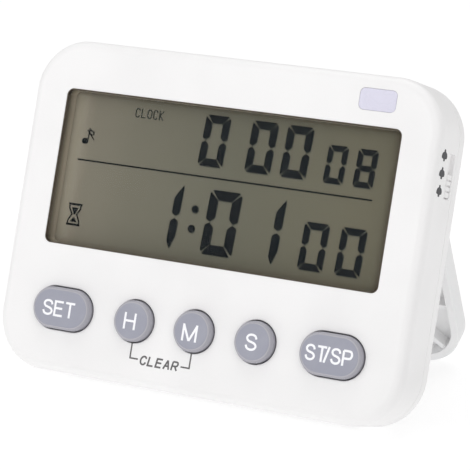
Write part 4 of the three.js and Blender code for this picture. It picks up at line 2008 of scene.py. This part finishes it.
@dataclass
class CasePrint:
    """Grey bracket under two keys with its word, and the three marks beside the switch.

    Attributes:
        line: width of the bracket's line.
        low: height of the bracket's foot.
        high: height of its upper ends.
    """

    line: float = 0.33
    low: float = 6.25
    high: float = 9.55

    def build(self, shop: Workshop) -> None:
        """Prints the bracket, the word and the marks.

        Args:
            shop: where pieces are made.
        """
        strokes = [
            ribbon([(-14.75, self.high), (-14.75, self.low), (-12.75, self.low)], self.line),
            ribbon([(0.1, self.high), (0.1, self.low), (-2.0, self.low)], self.line),
        ]
        for place, letter in enumerate("CLEAR"):
            strokes += letter_strokes(letter, -12.35 + 1.98 * place, 5.08, 1.7, 2.2, 0.38, 0.32)
        word = Solid.fused([Solid.slab(outline, -PRINT, PRINT_ROOT) for outline in strokes])
        shop.piece("clear_bracket_print", word, GREY_INK, Body.CASE, "white_plastic")
        self._side_marks(shop)

    @staticmethod
    def _side_marks(shop: Workshop) -> None:
        """Prints three bell marks on the side wall.

        Args:
            shop: where pieces are made.
        """
        solids = []
        face, y = CASE_OUTLINE.half_x, 3.75
        half = [(0.5, -0.78), (1.45, -0.6), (1.55, -0.1), (1.25, 0.45), (0.5, 0.78)]
        for z in (59.95, 56.15, 52.35):
            bell = [(y + out, z + up) for out, up in half]
            bell += [(y - out, z + up) for out, up in reversed(half)]
            clapper = Outline(y, z - 0.9, 0.45, 0.36, 0.3, 4).ring()
            top = Outline(y, z + 0.95, 0.4, 0.36, 0.3, 4).ring()
            for outline in (bell, clapper, top):
                solids.append(Solid.bar(outline, face - 0.05, face - 0.004))
        shop.piece("side_marks_print", Solid.fused(solids), DARK_INK, Body.CASE, "white_plastic")


# ------------------------------------------------------------------ lamp and switch
@dataclass
class AlarmLight:
    """Milky lamp cover over a red lamp.

    Attributes:
        edge: radius of the cover's front edge.
    """

    edge: float = 0.12

    def build(self, shop: Workshop) -> None:
        """Builds the cover and dresses the lamp.

        Args:
            shop: where pieces are made.
        """
        face = Solid.soft_slab(lambda grow: LENS.ring(grow + 0.17), 0.05, 2.6, self.edge, 0.0, 4)
        flange = Outline(LENS.x, LENS.z, LENS.half_x + 0.9, LENS.half_z + 0.35, 0.6, 4)
        cover = face.add(Solid.slab(flange.ring(), 2.1, 2.9))
        shop.piece("lamp_cover", cover, LAMP, Body.CASE, "lens_plastic", "light_lens")
        shop.dress(LED, "led_red", "alarm_led")


@dataclass
class SideSwitch:
    """Slide switch in the right-hand wall.

    Attributes:
        low: low corner of the knob's pad in Y and Z.
        high: its high corner.
        face: outer face of the pad.
        ridges: heights of its finger grooves above its foot.
    """

    low: Point2 = (7.4, 51.3)
    high: Point2 = (10.0, 56.3)
    face: float = 49.9
    ridges: tuple[float, ...] = (1.3, 2.5, 3.7)

    def build(self, shop: Workshop) -> None:
        """Builds the knob and dresses the switch's body.

        Args:
            shop: where pieces are made.
        """
        half = ((self.high[0] - self.low[0]) / 2, (self.high[1] - self.low[1]) / 2)
        place = Outline(self.low[0] + half[0], self.low[1] + half[1], *half, 0.45, 5)
        start = CASE_OUTLINE.half_x - 0.9
        rows = [(0.0, start)]
        rows += [(-inset, self.face - 0.2 + down) for inset, down in ((0.0, 0.0), (0.06, 0.12), (0.2, 0.2))]
        pad = Solid.from_rings([[(x, y, z) for y, z in place.ring(grow)] for grow, x in rows])
        grooves = []
        for step in self.ridges:
            z = self.low[1] + step
            grooves.append(Solid.box((49.5, 5.0, z - 0.2), (51.0, 12.0, z + 0.2)))
        lever = Solid.box((47.1, 8.1, 52.2), (start + 0.1, 9.3, 54.8))
        knob = pad.cut(*grooves).add(lever)
        shop.piece("switch_slider", knob, WHITE_CASE, Body.SWITCH, "white_plastic", "switch_knob")
        shop.dress(RESIN, "black_resin", "switch_body")


# ------------------------------------------------------------------ stand and back
@dataclass
class FoldOutStand:
    """U-shaped stand, a tray stiffened by ribs, open at its packed angle.

    Attributes:
        angle_deg: angle that it stands open at.
        thickness: thickness of the tray.
        axis_to_back: distance from its pivot to its back face.
        floor: thickness of the tray's floor.
        rim: thickness of its rim.
        edge: radius of its edges.
    """

    angle_deg: float = 46.0
    thickness: float = 4.6
    axis_to_back: float = 1.3
    floor: float = 1.3
    rim: float = 2.0
    edge: float = 0.35

    def build(self, shop: Workshop) -> None:
        """Builds and dresses the stand.

        Args:
            shop: where pieces are made.
        """
        back = self.axis_to_back
        front = back - self.thickness
        plate = Solid.soft_slab(stand_outline, front, back, self.edge, self.edge, 4)
        plate = plate.common(Solid.bar(self._side(front, back), -WHOLE, WHOLE))

        def pocket_ring(grow: float) -> list[Point2]:
            """Outline of the tray's pocket."""
            return stand_outline(grow - self.rim)

        pocket = Solid.opening(pocket_ring, front, back - self.floor, 0.2)
        tray = plate.cut(pocket.cut(*self._ribs(front)))
        pins = [
            Solid.bar(circle(0.0, 0.0, 1.0, 8).ring(), *sorted(((STAND_SIDE - 1) * side, 46.5 * side)))
            for side in (-1, 1)
        ]
        opened = Matrix.Translation(PIVOT) @ Matrix.Rotation(math.radians(self.angle_deg), 4, "X")
        solid = tray.add(*pins).moved(opened)
        shop.piece("stand_frame", solid, WHITE_STAND, Body.STAND, "white_stand", "stand")

    @staticmethod
    def _side(front: float, back: float) -> list[Point2]:
        """Side view of the stand, rounded about its pivot.

        Args:
            front: depth of the tray's front face.
            back: depth of its back face.

        Returns:
            The outline.
        """
        angles = [math.pi / 2 * step / 10 for step in range(11)]
        round_top = [(back * math.cos(a), back * math.sin(a)) for a in angles]
        foot = [(front - 1, -WHOLE), (back + 1, -WHOLE), (back + 1, -0.001)]
        return foot + round_top + [(-1.5, back), (front, -0.4), (front - 1, -0.4)]

    @staticmethod
    def _ribs(front: float) -> list[Solid]:
        """Ribs across the arms, along the foot and over its corners.

        Args:
            front: depth of the tray's front face.

        Returns:
            The ribs.
        """
        low, half = front + 0.6, 0.6
        ribs = [Solid.box((-WHOLE, low, -z - half), (WHOLE, 2.0, -z + half)) for z in (20.0, 40.0)]
        for x in (-24.0, -8.0, 8.0, 24.0):
            ribs.append(Solid.box((x - half, low, -STAND_LENGTH), (x + half, 2.0, -STAND_BAR)))
        for side in (-1, 1):
            turn = Matrix.Rotation(math.radians(-45 * side), 4, "Y")
            spot = Matrix.Translation((36.9 * side, 0.0, -51.4))
            ribs.append(Solid.box((-half, low, -8.0), (half, 2.0, 8.0)).moved(spot @ turn))
        return ribs


@dataclass
class BatteryBay:
    """Round battery door and what lies behind it.

    Attributes:
        radius: radius of the door.
        z: height of its centre.
    """

    radius: float = 12.2
    z: float = BAY_Z

    def build(self, shop: Workshop) -> None:
        """Builds the door and dresses the cell and its contacts.

        Args:
            shop: where pieces are made.
        """
        inner = DEPTH - 2.5
        disc = Solid.soft_slab(circle(0.0, self.z, self.radius, 24).ring, inner, DEPTH, 0.0, 0.25, 4)
        hollow = Solid.slab(circle(0.0, self.z, self.radius - 1.6, 24).ring(), inner - 1, DEPTH - 1.4)
        slot = Outline(0.0, self.z, 8.5, 1.1, 1.05, 8)
        ring_groove = Solid.slab(circle(0.0, self.z, 10.6, 24).ring(), DEPTH - 0.25, DEPTH + 1).cut(
            Solid.slab(circle(0.0, self.z, 10.2, 24).ring(), DEPTH - 1, DEPTH + 2)
        )
        door = disc.cut(hollow, Solid.opening(slot.ring, DEPTH, DEPTH - 0.8, 0.15), ring_groove)
        door = door.add(*door_lugs(13.5, 0.2, inner, inner + 0.8, 0.0))
        shop.piece("round_battery_door", door, WHITE_CASE, Body.DOOR, "white_plastic", "battery_door")
        shop.dress(RESIN, "black_resin", "battery_holder")
        shop.dress(NICKEL, "steel", "coin_cell", "battery_contact_negative", "battery_contact_positive")


@dataclass
class Fasteners:
    """Case screws, board screws and the two disc magnets.

    Attributes:
        head: radius of a case screw's head.
        height: height of its head.
    """

    head: float = 2.1
    height: float = 1.3

    def build(self, shop: Workshop) -> None:
        """Builds the screws and magnets that show and dresses the board's screws.

        Args:
            shop: where pieces are made.
        """
        for name, (x, z, seat, _) in SCREW_PLACES.items():
            under = seat + GAP
            shaft = Solid.slab(circle(x, z, 1.1, 8).ring(), 4.2, under + 0.1)
            top = under + self.height
            head = Solid.soft_slab(circle(x, z, self.head, 10).ring, under, top, 0.1, 0.55, 5)
            cross = [
                Solid.box((x - a, top - 0.6, z - b), (x + a, top + 1, z + b))
                for a, b in ((1.15, 0.24), (0.24, 1.15))
            ]
            solid = shaft.add(head).cut(*cross)
            shop.piece(f"{name}_turned", solid, NICKEL, Body.CASE, "steel", name)
        for side, name in ((-1, "magnet_left"), (1, "magnet_right")):
            outline = circle(MAGNET_X * side, MAGNET_Z, 5.0, 20)
            disc = Solid.soft_slab(outline.ring, 13.3, 16.3, 0.2, 0.3, 4)
            shop.piece(f"{name}_disc", disc, MAGNET_PLATE, Body.CASE, "plated_magnet", name)
        shop.dress(NICKEL, "steel", *BOARD_SCREW_PLACES)


@dataclass
class Electronics:
    """Board, chip, crystal, contact strip and sounder, as packed.

    Attributes:
        finishes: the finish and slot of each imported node.
    """

    finishes: dict[str, tuple[Finish, str]] = field(
        default_factory=lambda: {
            "main_board": (BOARD, "board_green"),
            "controller_chip": (RESIN, "black_resin"),
            "clock_crystal": (NICKEL, "steel"),
            "zebra_strip": (RUBBER, "black_rubber"),
            "buzzer_disc": (BRASS, "brass"),
            "buzzer_wire_red": (RED_WIRE, "red_wire"),
            "buzzer_wire_black": (BLACK_WIRE, "black_wire"),
        }
    )

    def build(self, shop: Workshop) -> None:
        """Dresses the nodes.

        Args:
            shop: where pieces are made.
        """
        for name, (finish, slot) in self.finishes.items():
            shop.dress(finish, slot, name)


# ------------------------------------------------------------------ studio
@dataclass
class Studio:
    """White table, soft light and the camera.

    Attributes:
        azimuth_deg: the camera's angle round the timer.
        elevation_deg: its angle above the table.
        distance: distance from its target, in metres.
        target: what it looks at, in metres.
        lens: focal length.
    """

    azimuth_deg: float = 27.117
    elevation_deg: float = 17.295
    distance: float = 0.51285
    target: tuple[float, float, float] = (0.006085, -0.01821, 0.039275)
    lens: float = 180.35

    def build(self) -> None:
        """Builds the table, the lights and the camera."""
        self._table()
        self._lights()
        self._camera()
        LOG.info("studio ready")

    @staticmethod
    def _table() -> None:
        """Builds the table top."""
        shape = bmesh.new()
        bmesh.ops.create_grid(shape, x_segments=4, y_segments=4, size=6.0)
        mesh = bpy.data.meshes.new("table_top")
        shape.to_mesh(mesh)
        shape.free()
        graph = Graph("table_paper")
        cloud = graph.noise(300.0, 2.0)
        colour = graph.blend(cloud, (0.34, 0.34, 0.34), (0.36, 0.36, 0.36))
        paper = graph.surface(
            Base_Color=colour,
            Roughness=0.9,
            Specular_IOR_Level=0.0,
            Emission_Color=(1.0, 1.0, 1.0, 1.0),
            Emission_Strength=0.72,
        )
        mesh.materials.append(paper)
        table = bpy.data.objects.new("table_top", mesh)
        bpy.context.scene.collection.objects.link(table)

    @staticmethod
    def _lights() -> None:
        """Builds the sky and three soft lamps."""
        scene = bpy.context.scene
        scene.view_settings.view_transform = "Standard"
        world = bpy.data.worlds.new("soft_sky")
        scene.world = world
        world.use_nodes = True
        sky = world.node_tree.nodes["Background"]
        sky.inputs["Color"].default_value = (1.0, 1.0, 1.0, 1.0)
        sky.inputs["Strength"].default_value = 0.44
        for name, place, size, power in (
            ("key_lamp", (-0.55, -0.8, 0.55), 0.7, 3.4),
            ("fill_lamp", (0.6, -0.5, 0.5), 0.6, 1.4),
            ("top_lamp", (0.0, 0.25, 1.1), 0.9, 5.0),
        ):
            light = bpy.data.lights.new(name, "AREA")
            light.size = size
            light.energy = power
            lamp = bpy.data.objects.new(name, light)
            lamp.location = place
            aim = Vector((0.0, 0.0, 0.04)) - Vector(place)
            lamp.rotation_euler = aim.to_track_quat("-Z", "Y").to_euler()
            scene.collection.objects.link(lamp)

    def _camera(self) -> None:
        """Builds the camera."""
        around, above = math.radians(self.azimuth_deg), math.radians(self.elevation_deg)
        flat = math.cos(above)
        back = Vector((math.sin(around) * flat, -math.cos(around) * flat, math.sin(above)))
        data = bpy.data.cameras.new("camera")
        data.lens = self.lens
        data.sensor_width = 36.0
        data.clip_start, data.clip_end = 0.01, 50.0
        camera = bpy.data.objects.new("camera", data)
        camera.location = Vector(self.target) + back * self.distance
        camera.rotation_euler = (-back).to_track_quat("-Z", "Y").to_euler()
        bpy.context.scene.collection.objects.link(camera)
        bpy.context.scene.camera = camera


def main() -> None:
    """Builds the timer piece by piece, then the studio round it."""
    logging.basicConfig(level=logging.INFO, format="%(message)s")
    shop = Workshop(CaseFrame.from_joints(frame["joints"]), frame["nodes"])
    for assembly in (
        FrontCase(),
        RearCase(),
        DisplayStack(),
        DisplayImage(),
        Keypad(),
        CasePrint(),
        AlarmLight(),
        SideSwitch(),
        FoldOutStand(),
        BatteryBay(),
        Fasteners(),
        Electronics(),
    ):
        LOG.info("building %s", type(assembly).__name__)
        assembly.build(shop)
    Studio().build()


if __name__ == "__main__":
    main()
